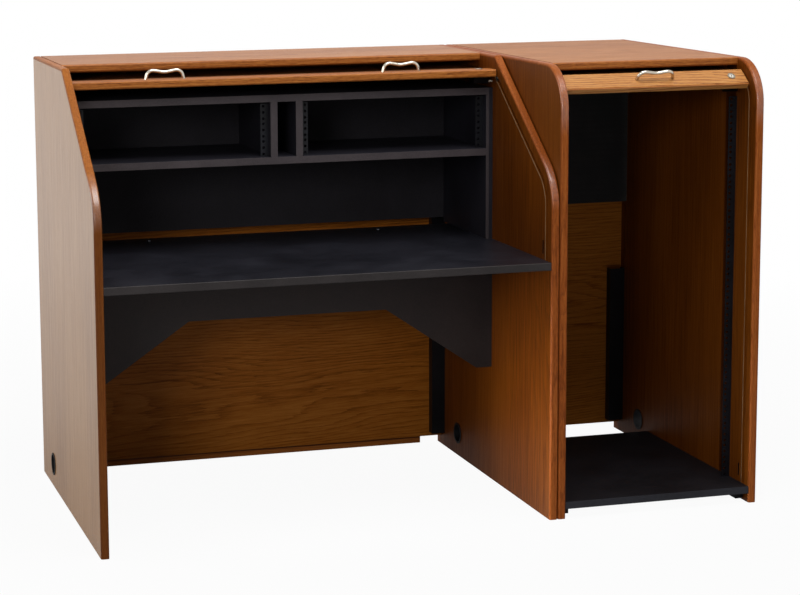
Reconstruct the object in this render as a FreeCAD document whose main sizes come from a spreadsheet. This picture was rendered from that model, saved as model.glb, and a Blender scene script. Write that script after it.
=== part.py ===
import FreeCAD, Part
import math
import os
import re

import Sketcher
from FreeCAD import Placement, Rotation, Vector

# Roll-top equipment desk with a rack tower beside it, both closed by slatted curtains.
# Places are measured from the desk's left outer face (x), the front plane (y) and the floor (z).
# The finished part is shifted so that its origin lies at the middle of its footprint.

doc = FreeCAD.newDocument("tambour_desk")

# Driving dimensions in millimetres, degrees and counts
SIZES = {
    # Carcasses
    "height": 1118,
    "depth": 840,
    "desk_width": 1140,
    "tower_width": 535,
    "cabinet_gap": 2,
    "panel_thick": 20,
    "band_depth": 7,
    "band_round": 5,
    "slant_back": 398,
    "bend_height": 840,
    "bend_radius": 130,
    "corner_radius": 108,
    "top_front_inset": 109,
    "back_inset": 36,
    "back_thick": 16,
    "back_foot": 26,
    "toe_rail_height": 56,
    "toe_rail_foot": 4,
    "toe_rail_thick": 18,
    "toe_rail_end_gap": 59,
    # Work surface and the apron below it
    "work_height": 642,
    "work_thick": 19,
    "work_front": 3,
    "work_rear_gap": 104,
    "work_edge": 4,
    "work_edge_round": 1.5,
    "apron_thick": 19,
    "apron_foot": 302,
    "arch_height": 471,
    "arch_top_inset": 290,
    "arch_foot_inset": 42,
    "left_screw_inset": 242,
    "right_screw_inset": 233,
    "screw_rear_inset": 44,
    "screw_head": 12,
    "screw_head_thick": 2,
    "screw_shank": 5,
    "screw_length": 15,
    "screw_fit": 0.1,
    "cleat_size": 20,
    "cleat_inset": 30,
    # Rack cabinet and rack rails
    "rack_front": 410,
    "rack_rear_gap": 64,
    "rack_top_gap": 83,
    "rack_board": 18,
    "rack_slot": 48,
    "rack_back_thick": 6,
    "rack_back_gap": 12,
    "bay_height": 139,
    "bay_units": 3,
    "tower_rail_headroom": 60,
    "rack_unit": 44.45,
    "rack_pitch": 15.875,
    "rack_first_hole": 6.35,
    "rack_hole": 7.1,
    "bay_hole_inset": 12.45,
    "tower_hole_inset": 14.95,
    "desk_rail_face": 20,
    "tower_rail_face": 22,
    "rail_leg": 22,
    "rail_metal": 2,
    "desk_rail_setback": 25,
    "tower_rail_setback": 108,
    # Tower base
    "base_height": 42,
    "base_thick": 18,
    "base_front": 2,
    "base_rear_gap": 192,
    "base_cleat_height": 20,
    # Curtain grooves
    "track_inset": 36,
    "desk_track_drop": 44,
    "groove_width": 10,
    "groove_depth": 9,
    "groove_foot": 480,
    "top_bend_radius": 60,
    "rear_bend_radius": 60,
    "rear_track_gap": 32,
    # Curtains
    "slat_pitch": 16,
    "slat_gap": 1,
    "slat_thick": 8,
    "slat_bevel": 2,
    "slat_end_gap": 2,
    "canvas_thick": 1,
    "canvas_inset": 6,
    "canvas_gap": 0.1,
    "desk_slats": 41,
    "tower_slats": 66,
    "tower_curtain_start": 104,
    "curtain_gap": 0.4,
    # Lead rails
    "lead_width": 56,
    "lead_thick": 19,
    "lead_round": 4,
    "lead_end_gap": 3,
    "desk_lead_setback": 8,
    "tower_lead_tilt": 35,
    "tower_lead_reach": 69.7,
    "button_width": 13,
    "button_spigot": 8,
    "button_depth": 12,
    "button_gap": 0.3,
    "spigot_fit": 0.05,
    "pin_fit": 0.3,
    "pin_end_gap": 1,
    "pin_drop": 6,
    # Pulls
    "pull_span": 96,
    "pull_wire": 8,
    "pull_shoulder": 84,
    "pull_rise": 24.5,
    "pull_dip": 17,
    "pull_shoulder_radius": 17,
    "pull_dip_radius": 45,
    "desk_left_pull_inset": 238,
    "desk_right_pull_inset": 250,
    "tower_pull_inset": 246,
    # Locks
    "lock_inset": 40,
    "lock_flange": 20,
    "lock_flange_thick": 1.5,
    "lock_barrel": 18,
    "lock_barrel_fit": 0.1,
    "lock_plug": 12,
    "lock_plug_fit": 0.05,
    "lock_case_width": 40,
    "lock_case_length": 34,
    "lock_case_thick": 16,
    "lock_bolt_reach": 14,
    "lock_bolt_thick": 4,
    "lock_bolt_width": 16,
    "lock_bolt_hook": 6,
    "key_slot_width": 1.6,
    "key_slot_length": 7,
    "key_slot_depth": 4,
    "strike_width": 7,
    "strike_length": 34,
    "strike_depth": 12,
    "strike_place": 58,
    "lead_sill_gap": 3,
    # Cable holes and channels
    "cable_hole": 52,
    "cable_hole_rear_gap": 132,
    "cable_hole_height": 62,
    "liner_wall": 2,
    "liner_flange": 58,
    "liner_flange_thick": 2,
    "liner_fit": 0.1,
    "desk_channel_width": 38,
    "tower_channel_width": 43,
    "channel_depth": 25,
    "channel_wall": 2,
    "channel_foot": 37,
    "desk_channel_top": 725,
    "tower_channel_top": 475,
    # Joining bolts
    "bolt_shank": 8,
    "bolt_head": 14,
    "bolt_head_thick": 3,
    "bolt_fit": 0.1,
    "bolt_washer": 18,
    "bolt_front": 480,
    "bolt_rear_gap": 114,
    "bolt_low": 330,
    "bolt_high": 580,
    # Stop clips
    "clip_wire": 3,
    "clip_setback": 48,
    "clip_top_gap": 58,
    "clip_drop": 12,
    "clip_reach": 11,
    "clip_bend": 4,
}

# Places worked out from the driving dimensions
PLACES = {
    "shift_x": "-(desk_width + cabinet_gap + tower_width) / 2",
    "shift_y": "-depth / 2",
    "slope": "(height - bend_height) / slant_back",
    "stretch": "sqrt(1 + slope * slope)",
    "desk_left": "panel_thick",
    "desk_right": "desk_width - panel_thick",
    "tower_start": "desk_width + cabinet_gap",
    "tower_left": "tower_start + panel_thick",
    "tower_right": "tower_start + tower_width - panel_thick",
    "tower_end": "tower_start + tower_width",
    "top_under": "height - panel_thick",
    "work_under": "work_height - work_thick",
    "back_setback": "depth - back_inset",
    "rear_track": "back_setback - rear_track_gap",
    "desk_top_setback": "slant_back + top_front_inset",
    "work_depth": "back_setback - work_rear_gap",
    "base_depth": "back_setback - base_rear_gap",
    "rack_rear": "back_setback - rack_rear_gap",
    "rack_height": "height - rack_top_gap",
    "rack_back_foot": "work_height + rack_back_gap",
    "rack_top_under": "rack_height - rack_board",
    "shelf_top": "rack_top_under - bay_height",
    "shelf_under": "shelf_top - rack_board",
    "rack_left": "desk_left + rack_board",
    "rack_right": "desk_right - rack_board",
    "rack_middle": "desk_width / 2",
    "divider_left": "rack_middle - rack_slot / 2 - rack_board",
    "divider_right": "rack_middle + rack_slot / 2",
    "desk_run": "height - desk_track_drop",
    "tower_run": "height - track_inset",
    "tower_units": "floor((tower_run - base_height - tower_rail_headroom) / rack_unit)",
    "track_corner": "bend_height + slope * track_inset - stretch * track_inset",
    "track_slant_top": "(desk_run - bend_height + stretch * track_inset) / slope",
    "button_thick": "lead_end_gap - button_gap",
    "left_screw_place": "desk_left + left_screw_inset",
    "right_screw_place": "desk_right - right_screw_inset",
    "screw_setback": "work_depth - screw_rear_inset",
    "cable_hole_place": "back_setback - cable_hole_rear_gap",
    "bolt_rear": "back_setback - bolt_rear_gap",
    "desk_lead_place": "slant_back + desk_lead_setback",
    "desk_left_pull_place": "desk_left + desk_left_pull_inset",
    "desk_right_pull_place": "desk_right - desk_right_pull_inset",
    "tower_pull_place": "tower_right - tower_pull_inset",
    "clip_place": "slant_back + clip_setback",
    "clip_height": "height - clip_top_gap",
}


def formula(text):
    """Turn a size written in words into references to the sheet."""
    def expand(match):
        word = match.group(0)
        if word in PLACES:
            return "(" + formula(PLACES[word]) + ")"
        if word in SIZES:
            return "Sizes." + word
        return word
    return re.sub(r"[a-z][a-z_]*", expand, text)


def number(text):
    """The value of a size written in words."""
    return float(sheet.evalExpression(formula(text)))


def place(item, x="0", y="0", z="0"):
    """Bind an object's position to the sheet."""
    item.setExpression("Placement.Base.x", formula(f"{x} + shift_x"))
    item.setExpression("Placement.Base.y", formula(f"{y} + shift_y"))
    item.setExpression("Placement.Base.z", formula(z))
    return item


def box(label, x, y, z):
    """A square board between two places on each axis."""
    board = doc.addObject("Part::Box", label)
    for size, (start, end) in (("Length", x), ("Width", y), ("Height", z)):
        board.setExpression(size, formula(f"{end} - ({start})"))
    return place(board, x[0], y[0], z[0])


def rod(label, x, y, z, length, diameter):
    """A round bar along x that starts at the given place."""
    bar = doc.addObject("Part::Cylinder", label)
    bar.setExpression("Radius", formula(f"({diameter}) / 2"))
    bar.setExpression("Height", formula(length))
    bar.Placement = Placement(Vector(), Rotation(Vector(0, 1, 0), 90))
    return place(bar, x, y, z)


def solid(label, shape, shifted=True):
    """A piece whose form follows a curtain track or a bent wire."""
    piece = doc.addObject("Part::Feature", label)
    piece.Shape = shape
    if shifted:
        piece.Placement = Placement(Vector(number("shift_x"), number("shift_y"), 0), Rotation())
    return piece


def cut(label, base, tools):
    """A piece with all of its cut-outs taken away."""
    removed = doc.addObject("Part::Compound", label + "_cutters")
    removed.Links = tools
    piece = doc.addObject("Part::Cut", label)
    piece.Base = base
    piece.Tool = removed
    return piece


def group(label, pieces):
    """Equal small pieces that share one name."""
    bundle = doc.addObject("Part::Compound", label)
    bundle.Links = pieces
    return bundle


def draw_polygon(sketch, corners):
    """Draw a closed outline whose corners are all bound to the sheet."""
    points = [Vector(number(u), number(v), 0) for u, v in corners]
    first = sketch.GeometryCount
    count = len(points)
    for i in range(count):
        sketch.addGeometry(Part.LineSegment(points[i], points[(i + 1) % count]), False)
    for i in range(count):
        sketch.addConstraint(Sketcher.Constraint("Coincident", first + i, 2, first + (i + 1) % count, 1))
    for i, corner in enumerate(corners):
        for kind, axis_line, text in (("DistanceX", -2, corner[0]), ("DistanceY", -1, corner[1])):
            if text == "0":
                sketch.addConstraint(Sketcher.Constraint("PointOnObject", first + i, 1, axis_line))
                continue
            rule = Sketcher.Constraint(kind, -1, 1, first + i, 1, number(text))
            index = sketch.addConstraint(rule)
            sketch.setExpression(f"Constraints[{index}]", formula(text))


def sketch_on(body, role, name):
    """A sketch on one of the body's own origin planes."""
    sketch = body.newObject("Sketcher::SketchObject", name)
    plane = next(item for item in body.Origin.OriginFeatures if item.Role == role)
    sketch.AttachmentSupport = [(plane, "")]
    sketch.MapMode = "FlatFace"
    return sketch


def padded(label, role, corners, length, backwards=False):
    """A body made by padding one outline."""
    body = doc.addObject("PartDesign::Body", label)
    sketch = sketch_on(body, role, label + "_outline")
    draw_polygon(sketch, corners)
    pad = body.newObject("PartDesign::Pad", label + "_pad")
    pad.Profile = sketch
    pad.setExpression("Length", formula(length))
    pad.Reversed = backwards
    doc.recompute()
    return body


def round_edges(body, corners, radius):
    """Round the edges of a body that run along x through the given corners."""
    base = body.Tip
    wanted = [(number(u), number(v)) for u, v in corners]
    names = []
    for index, edge in enumerate(base.Shape.Edges, start=1):
        ends = [(vertex.Y, vertex.Z) for vertex in edge.Vertexes]
        if any(all(math.dist(end, corner) < 0.01 for end in ends) for corner in wanted):
            names.append(f"Edge{index}")
    rounding = body.newObject("PartDesign::Fillet", body.Name + "_rounding")
    rounding.Base = (base, names)
    rounding.setExpression("Radius", formula(radius))
    doc.recompute()
    return body


def rounded_path(x, corners, radii):
    """A wire in the plane of x through corners (y, z) that are rounded by tangent arcs."""
    points = [Vector(x, y, z) for y, z in corners]
    edges = []
    start = points[0]
    for before, corner, after, radius in zip(points, points[1:], points[2:], radii):
        inward = (before - corner).normalize()
        outward = (after - corner).normalize()
        half = inward.getAngle(outward) / 2
        reach = radius / math.tan(half)
        middle = (inward + outward).normalize()
        arc_start = corner + inward * reach
        arc_end = corner + outward * reach
        arc_middle = corner + middle * (radius / math.sin(half) - radius)
        edges.append(Part.LineSegment(start, arc_start).toShape())
        edges.append(Part.Arc(arc_start, arc_middle, arc_end).toShape())
        start = arc_end
    edges.append(Part.LineSegment(start, points[-1]).toShape())
    return Part.Wire(edges)


def swept_strip(path, start, across, along_x):
    """A strip of rectangular section swept along a track.

    The section lies at the start of the track: across holds its two offsets along the given
    direction there, and along_x its two places on x.
    """
    direction, near, far = across
    low, high = along_x
    corners = []
    for x, offset in ((low, near), (high, near), (high, far), (low, far)):
        point = start + direction * offset
        corners.append(Vector(x, point.y, point.z))
    section = Part.makePolygon(corners + corners[:1])
    return path.makePipeShell([section], True, False)


sheet = doc.addObject("Spreadsheet::Sheet", "Sizes")
for row, (alias, value) in enumerate(SIZES.items(), start=1):
    sheet.set(f"A{row}", alias)
    sheet.set(f"B{row}", str(value))
    sheet.setAlias(f"B{row}", alias)
doc.recompute()

nodes = []


def node(piece):
    """Keep a finished piece for the export."""
    piece.Label = piece.Name
    nodes.append(piece)
    return piece


# End panels and their edge bands

def desk_outline(inset):
    """Side outline of a desk end panel, set in from the front and top edges."""
    corner = f"bend_height + slope * {inset} - stretch * {inset}"
    top_front = f"(height - {inset} - bend_height + stretch * {inset}) / slope"
    if inset == "0":
        corner = "bend_height"
        top_front = "slant_back"
    top = f"height - {inset}"
    outline = [("depth", "0"), (inset, "0"), (inset, corner), (top_front, top), ("depth", top)]
    return outline, (inset, corner)


def tower_outline(inset):
    """Side outline of a tower panel, set in from the front and top edges."""
    top = f"height - {inset}"
    outline = [("depth", "0"), (inset, "0"), (inset, top), ("depth", top)]
    return outline, (inset, top)


def panel_blank(label, outline_of, inset, radius, x):
    """A panel of full thickness with its front bend rounded."""
    outline, bend = outline_of(inset)
    blank = padded(label, "YZ_Plane", outline, "panel_thick")
    round_edges(blank, [bend], f"{radius} - {inset}")
    return place(blank, x)


def edge_band(label, outline_of, radius, x, core):
    """The solid wood band round the front and top of a panel, with eased edges."""
    whole = panel_blank(label + "_whole", outline_of, "0", radius, x)
    strip = doc.addObject("Part::Cut", label + "_strip")
    strip.Base = whole
    strip.Tool = core
    doc.recompute()
    band = doc.addObject("Part::Fillet", label)
    band.Base = strip
    reach = number("band_depth") * 0.9
    rounding = []
    for index, edge in enumerate(strip.Shape.Edges, start=1):
        middle = edge.valueAt((edge.FirstParameter + edge.LastParameter) / 2)
        flat = abs(edge.BoundBox.XLength) < 0.001
        if flat and core.Shape.distToShape(Part.Vertex(middle))[0] > reach:
            rounding.append((index, number("band_round"), number("band_round")))
    band.Edges = rounding
    return node(band)


def track_groove(label, corners, radii, low, high):
    """A groove for the slat ends, from the foot of the front run to the end of the rear run."""
    path = rounded_path(low, corners, radii)
    half = number("groove_width") / 2
    start = Vector(low, *corners[0])
    return solid(label, swept_strip(path, start, (Vector(0, 1, 0), -half, half), (low, high)))


def desk_track():
    """Corners and radii of the desk curtain's track, from its foot to its rear end."""
    corners = [
        (number("track_inset"), number("work_height")),
        (number("track_inset"), number("track_corner")),
        (number("track_slant_top"), number("desk_run")),
        (number("rear_track"), number("desk_run")),
        (number("rear_track"), number("groove_foot")),
    ]
    radii = [number("bend_radius - track_inset"), number("top_bend_radius"), number("rear_bend_radius")]
    return corners, radii


def tower_track():
    """Corners and radii of the tower curtain's track, from its foot to its rear end."""
    corners = [
        (number("track_inset"), number("base_height")),
        (number("track_inset"), number("tower_run")),
        (number("rear_track"), number("tower_run")),
        (number("rear_track"), number("groove_foot")),
    ]
    return corners, [number("corner_radius - track_inset"), number("rear_bend_radius")]


def cable_hole(label, x):
    """A round way through a panel near its rear foot."""
    return rod(label, x, "cable_hole_place", "cable_hole_height", "panel_thick", "cable_hole")


def bolt_holes(label, x):
    """Ways through a panel for the joining bolts."""
    width = "bolt_shank + 2 * bolt_fit"
    holes = []
    for index, (y, z) in enumerate(BOLT_PLACES):
        holes.append(rod(f"{label}_bolt_way_{index}", x, y, z, "panel_thick", width))
    return holes


def strike_slot(label, x, foot):
    """The slot that the lock bolt finds when the lead rail is down."""
    middle = f"{foot} + lead_sill_gap + lead_width / 2"
    across = ("strike_place - strike_width / 2", "strike_place + strike_width / 2")
    upright = (f"{middle} - strike_length / 2", f"{middle} + strike_length / 2")
    return box(label, (x, f"{x} + strike_depth"), across, upright)


BOLT_PLACES = [(y, z) for y in ("bolt_front", "bolt_rear") for z in ("bolt_low", "bolt_high")]


def end_panel(label, form, x, groove_from, extra):
    """A finished side panel with its edge band."""
    outline_of, radius, track = form
    core = panel_blank(label + "_blank", outline_of, "band_depth", radius, x)
    corners, radii = track()
    low = number(groove_from)
    groove = track_groove(label + "_groove", corners, radii, low, low + number("groove_depth"))
    node(cut(label, core, [groove, cable_hole(label + "_cable_way", x)] + extra))
    edge_band(label.replace("panel", "edge_band"), outline_of, radius, x, core)


desk_form = (desk_outline, "bend_radius", desk_track)
tower_form = (tower_outline, "corner_radius", tower_track)
desk_strike = strike_slot("desk_strike", "desk_right", "work_height")
tower_strike = strike_slot("tower_strike", "tower_right", "base_height")
desk_ways = bolt_holes("desk_right", "desk_right")
tower_ways = bolt_holes("tower_left", "tower_start")
end_panel("desk_left_panel", desk_form, "0", "desk_left - groove_depth", [])
end_panel("desk_right_panel", desk_form, "desk_right", "desk_right", desk_ways + [desk_strike])
end_panel("tower_left_panel", tower_form, "tower_start", "tower_left - groove_depth", tower_ways)
end_panel("tower_right_panel", tower_form, "tower_right", "tower_right", [tower_strike])


# Tops, backs, work surface and base

def top_board(prefix, left, right, setback):
    """A top between two panels with a solid wood band along its front."""
    heights = ("top_under", "height")
    node(box(prefix + "_top_panel", (left, right), (f"{setback} + band_depth", "depth"), heights))
    blank = box(prefix + "_top_band_blank", (left, right), (setback, f"{setback} + band_depth"), heights)
    doc.recompute()
    band = doc.addObject("Part::Fillet", prefix + "_top_edge_band")
    band.Base = blank
    front = number(setback) + number("shift_y")
    radius = number("band_round")
    rounding = []
    for index, edge in enumerate(blank.Shape.Edges, start=1):
        at_front = all(abs(vertex.Y - front) < 0.01 for vertex in edge.Vertexes)
        if at_front and edge.BoundBox.XLength > radius:
            rounding.append((index, radius, radius))
    band.Edges = rounding
    node(band)


top_board("desk", "desk_left", "desk_right", "desk_top_setback")
top_board("tower", "tower_left", "tower_right", "top_front_inset")
back_run = ("back_setback", "back_setback + back_thick")
node(box("desk_rear_panel", ("desk_left", "desk_right"), back_run, ("back_foot", "top_under")))
node(box("tower_back_panel", ("tower_left", "tower_right"), back_run, ("back_foot", "top_under")))
toe_run = ("back_setback + back_thick", "back_setback + back_thick + toe_rail_thick")
toe_rise = ("toe_rail_foot", "toe_rail_foot + toe_rail_height")
node(box("desk_toe_rail", ("desk_left", "desk_right - toe_rail_end_gap"), toe_run, toe_rise))
surface_rise = ("work_under", "work_height")
surface_span = ("desk_left", "desk_right")
surface_blank = box("work_blank", surface_span, ("work_front + work_edge", "work_depth"), surface_rise)


def upright_rod(label, x, y, z, length, diameter):
    """A round bar along z that starts at the given place."""
    bar = doc.addObject("Part::Cylinder", label)
    bar.setExpression("Radius", formula(f"({diameter}) / 2"))
    bar.setExpression("Height", formula(length))
    return place(bar, x, y, z)


screw_ways = []
screws = []
for side in ("left", "right"):
    x, y = f"{side}_screw_place", "screw_setback"
    foot = "work_height - screw_length"
    way = upright_rod(f"{side}_screw_way", x, y, foot, "screw_length", "screw_shank + 2 * screw_fit")
    shank = upright_rod(f"{side}_screw_shank", x, y, foot, "screw_length", "screw_shank")
    head = upright_rod(f"{side}_screw_head", x, y, "work_height", "screw_head_thick", "screw_head")
    screw = doc.addObject("Part::Fuse", f"{side}_screw")
    screw.Base = shank
    screw.Tool = head
    screw_ways.append(way)
    screws.append(screw)
node(cut("work_surface", surface_blank, screw_ways))
node(group("surface_screws", screws))
edge_section = [("0", "0"), ("work_edge", "0"), ("work_edge", "work_thick"), ("0", "work_thick")]
surface_edge = padded("work_surface_edge", "YZ_Plane", edge_section, "desk_right - desk_left")
round_edges(surface_edge, [("0", "0"), ("0", "work_thick")], "work_edge_round")
node(place(surface_edge, "desk_left", "work_front", "work_under"))
base_rise = ("base_height - base_thick", "base_height")
node(box("tower_base_shelf", ("tower_left", "tower_right"), ("base_front", "base_depth"), base_rise))


def cleats(label, left, right, run, rise):
    """A pair of square strips that carry a board at its two ends."""
    near = box(label + "_left", (left, f"{left} + cleat_size"), run, rise)
    far = box(label + "_right", (f"{right} - cleat_size", right), run, rise)
    node(group(label, [near, far]))


cleat_run = ("rack_front + apron_thick + cleat_inset", "work_depth - cleat_inset")
cleats("work_cleats", "desk_left", "desk_right", cleat_run, ("work_under - cleat_size", "work_under"))
base_run = ("base_front + cleat_inset", "base_depth - cleat_inset")
base_cleat_rise = ("base_height - base_thick - base_cleat_height", "base_height - base_thick")
cleats("tower_base_cleats", "tower_left", "tower_right", base_run, base_cleat_rise)

# Knee apron with its arched cut-out
inside = "(desk_right - desk_left)"
apron_corners = [
    ("0", "apron_foot"),
    ("arch_foot_inset", "apron_foot"),
    ("arch_top_inset", "arch_height"),
    (f"{inside} - arch_top_inset", "arch_height"),
    (f"{inside} - arch_foot_inset", "apron_foot"),
    (inside, "apron_foot"),
    (inside, "work_under"),
    ("0", "work_under"),
]
apron = padded("knee_apron", "XZ_Plane", apron_corners, "apron_thick", backwards=True)
node(place(apron, "desk_left", "rack_front"))

# Rack cabinet on the work surface
rack_run = ("rack_front", "rack_rear")
side_rise = ("work_height", "rack_height")
bay_rise = ("shelf_top", "rack_top_under")
node(box("rack_top_board", ("rack_left", "rack_right"), rack_run, ("rack_top_under", "rack_height")))
node(box("rack_shelf", ("rack_left", "rack_right"), rack_run, ("shelf_under", "shelf_top")))
node(box("rack_left_side", ("desk_left", "rack_left"), rack_run, side_rise))
node(box("rack_right_side", ("rack_right", "desk_right"), rack_run, side_rise))
node(box("rack_left_divider", ("divider_left", "divider_left + rack_board"), rack_run, bay_rise))
node(box("rack_right_divider", ("divider_right", "divider_right + rack_board"), rack_run, bay_rise))
rack_back_run = ("rack_rear", "rack_rear + rack_back_thick")
node(box("rack_back", ("desk_left", "desk_right"), rack_back_run, ("rack_back_foot", "rack_height")))


# Perforated rack rails
HOLES_PER_UNIT = 3


def rack_rail(label, x, y, z, form, on_left):
    """An angle rail: a leg against the board and a face with three screw holes to a rack unit."""
    units, face, hole_inset = form
    length = f"{units} * rack_unit"
    if on_left:
        section = [("0", "0"), (face, "0"), (face, "rail_metal")]
        section += [("rail_metal", "rail_metal"), ("rail_metal", "rail_leg"), ("0", "rail_leg")]
    else:
        section = [("0", "0"), (face, "0"), (face, "rail_leg"), (f"{face} - rail_metal", "rail_leg")]
        section += [(f"{face} - rail_metal", "rail_metal"), ("0", "rail_metal")]
    rail = padded(label, "XY_Plane", section, length)
    middle = hole_inset if on_left else f"{face} - {hole_inset}"
    holes = sketch_on(rail, "XZ_Plane", label + "_holes")
    for step in range(HOLES_PER_UNIT):
        centre = f"rack_first_hole + {step} * rack_pitch"
        middle_point = Vector(number(middle), number(centre), 0)
        circle = Part.Circle(middle_point, Vector(0, 0, 1), number("rack_hole / 2"))
        index = holes.addGeometry(circle, False)
        for kind, text in (("DistanceX", middle), ("DistanceY", centre)):
            rule = holes.addConstraint(Sketcher.Constraint(kind, -1, 1, index, 3, number(text)))
            holes.setExpression(f"Constraints[{rule}]", formula(text))
        rule = holes.addConstraint(Sketcher.Constraint("Diameter", index, number("rack_hole")))
        holes.setExpression(f"Constraints[{rule}]", formula("rack_hole"))
    pocket = rail.newObject("PartDesign::Pocket", label + "_pocket")
    pocket.Profile = holes
    pocket.Type = "ThroughAll"
    pocket.Midplane = True
    doc.recompute()
    pattern = rail.newObject("PartDesign::LinearPattern", label + "_pattern")
    pattern.Originals = [pocket]
    axis = next(item for item in rail.Origin.OriginFeatures if item.Role == "Z_Axis")
    pattern.Direction = (axis, [""])
    pattern.Mode = "Spacing"
    pattern.setExpression("Offset", formula("rack_unit"))
    pattern.setExpression("Occurrences", formula(units))
    rail.Tip = pattern
    doc.recompute()
    return node(place(rail, x, y, z))


desk_rail_y = "rack_front + desk_rail_setback"
desk_rails = [
    ("desk_rack_rail_1", "rack_left", True),
    ("desk_rack_rail_2", "divider_left - desk_rail_face", False),
    ("desk_rack_rail_3", "divider_right + rack_board", True),
    ("desk_rack_rail_4", "rack_right - desk_rail_face", False),
]
desk_rail_form = ("bay_units", "desk_rail_face", "bay_hole_inset")
for label, x, on_left in desk_rails:
    rack_rail(label, x, desk_rail_y, "shelf_top", desk_rail_form, on_left)
tower_rails = [
    ("tower_rack_rail_left", "tower_left", True),
    ("tower_rack_rail_right", "tower_right - tower_rail_face", False),
]
tower_rail_form = ("tower_units", "tower_rail_face", "tower_hole_inset")
for label, x, on_left in tower_rails:
    rack_rail(label, x, "tower_rail_setback", "base_height", tower_rail_form, on_left)


# Cable channels, hole liners and joining bolts

def cable_channel(label, right, width, top):
    """An upright channel in the rear corner, open towards the back panel."""
    start = f"{right} - {width}"
    front = "back_setback - channel_depth"
    rise = ("channel_foot", top)
    block = box(label + "_block", (start, right), (front, "back_setback"), rise)
    hollow_run = (f"{start} + channel_wall", f"{right} - channel_wall")
    hollow = box(label + "_hollow", hollow_run, (f"{front} + channel_wall", "back_setback"), rise)
    node(cut(label, block, [hollow]))


cable_channel("desk_cable_channel", "desk_right", "desk_channel_width", "desk_channel_top")
cable_channel("tower_cable_channel", "tower_right", "tower_channel_width", "tower_channel_top")


def hole_liner(label, x, flange_places):
    """A plastic bush in a cable hole, with a flange on each face of the panel that is open."""
    y, z = "cable_hole_place", "cable_hole_height"
    outside = "cable_hole - 2 * liner_fit"
    rings = [rod(label + "_tube", x, y, z, "panel_thick", outside)]
    for index, flange_x in enumerate(flange_places):
        rings.append(rod(f"{label}_flange_{index}", flange_x, y, z, "liner_flange_thick", "liner_flange"))
    whole = doc.addObject("Part::MultiFuse", label + "_whole")
    whole.Shapes = rings
    span = "panel_thick + 2 * liner_flange_thick"
    bore = rod(label + "_bore", f"{x} - liner_flange_thick", y, z, span, f"{outside} - 2 * liner_wall")
    return cut(label, whole, [bore])


liner_places = [
    ("0", ["-liner_flange_thick", "desk_left"]),
    ("desk_right", ["desk_right - liner_flange_thick"]),
    ("tower_start", ["tower_left"]),
    ("tower_right", ["tower_right - liner_flange_thick", "tower_end"]),
]
liners = [hole_liner(f"liner_{index}", x, flanges) for index, (x, flanges) in enumerate(liner_places)]
node(group("cable_hole_liners", liners))


def joining_bolt(label, y, z):
    """A bolt through both carcasses with a head at each end, and the washer in the gap."""
    shank = rod(label + "_shank", "desk_right", y, z, "2 * panel_thick + cabinet_gap", "bolt_shank")
    near = rod(label + "_near_head", "desk_right - bolt_head_thick", y, z, "bolt_head_thick", "bolt_head")
    far = rod(label + "_far_head", "tower_left", y, z, "bolt_head_thick", "bolt_head")
    bolt = doc.addObject("Part::MultiFuse", label)
    bolt.Shapes = [shank, near, far]
    disc = rod(label + "_disc", "desk_width", y, z, "cabinet_gap", "bolt_washer")
    way = rod(label + "_way", "desk_width", y, z, "cabinet_gap", "bolt_shank + 2 * bolt_fit")
    return [bolt, cut(label + "_washer", disc, [way])]


bolts = []
for index, (y, z) in enumerate(BOLT_PLACES):
    bolts += joining_bolt(f"joining_bolt_{index}", y, z)
node(group("joining_bolts", bolts))


# Stored curtains: slats on a canvas back, along the run under the top and down the back

def stored_track(x, start, run, length):
    """The track of a stored curtain that is as long as its slats."""
    rear = number("rear_track")
    radius = number("rear_bend_radius")
    level = rear - start - radius
    end = run - radius - (length - level - math.pi * radius / 2)
    return rounded_path(x, [(start, run), (rear, run), (rear, end)], [radius])


def place_on(path, length):
    """The point and the direction at a length along a track."""
    for edge in path.OrderedEdges:
        if length <= edge.Length:
            parameter = edge.getParameterByLength(length)
            return edge.valueAt(parameter), edge.tangentAt(parameter)
        length -= edge.Length
    return edge.valueAt(edge.LastParameter), edge.tangentAt(edge.LastParameter)


def curtain(prefix, left, right, start, run, count):
    """Slats with bevelled faces and the canvas that joins them."""
    pitch = number("slat_pitch")
    width = pitch - number("slat_gap")
    thick = number("slat_thick")
    bevel = number("slat_bevel")
    half = width / 2
    reach = number("groove_depth - slat_end_gap")
    low, high = number(left) - reach, number(right) + reach
    path = stored_track(low, start, run, count * pitch)
    section = [
        (-half, -thick / 2),
        (half, -thick / 2),
        (half, thick / 2 - bevel),
        (half - bevel, thick / 2),
        (bevel - half, thick / 2),
        (-half, thick / 2 - bevel),
    ]
    slats = []
    for index in range(count):
        point, along = place_on(path, (index + 0.5) * pitch)
        outward = Vector(0, -along.z, along.y)
        corners = [point + along * u + outward * v for u, v in section]
        face = Part.Face(Part.makePolygon(corners + corners[:1]))
        slats.append(face.extrude(Vector(high - low, 0, 0)))
    node(solid(prefix + "_curtain_slats", Part.makeCompound(slats)))
    near = -thick / 2 - number("canvas_gap")
    across = (Vector(0, 0, 1), near - number("canvas_thick"), near)
    sides = (number(f"{left} + canvas_inset"), number(f"{right} - canvas_inset"))
    first = Vector(low, start, run)
    node(solid(prefix + "_curtain_canvas", swept_strip(path, first, across, sides)))


# Lead rails, each modelled about the middle of its section and then turned into its rest pose

def desk_lead_centre():
    """Rest place of the desk lead rail's middle, level with the middle of the stored slats."""
    return number("desk_lead_place"), number("desk_run")


def tower_lead_centre():
    """Rest place of the tower lead rail's middle, on the round of the track."""
    tilt = math.radians(number("tower_lead_tilt"))
    reach = number("tower_lead_reach")
    corner = number("corner_radius")
    return corner - reach * math.sin(tilt), number("height") - corner + reach * math.cos(tilt)


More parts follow.
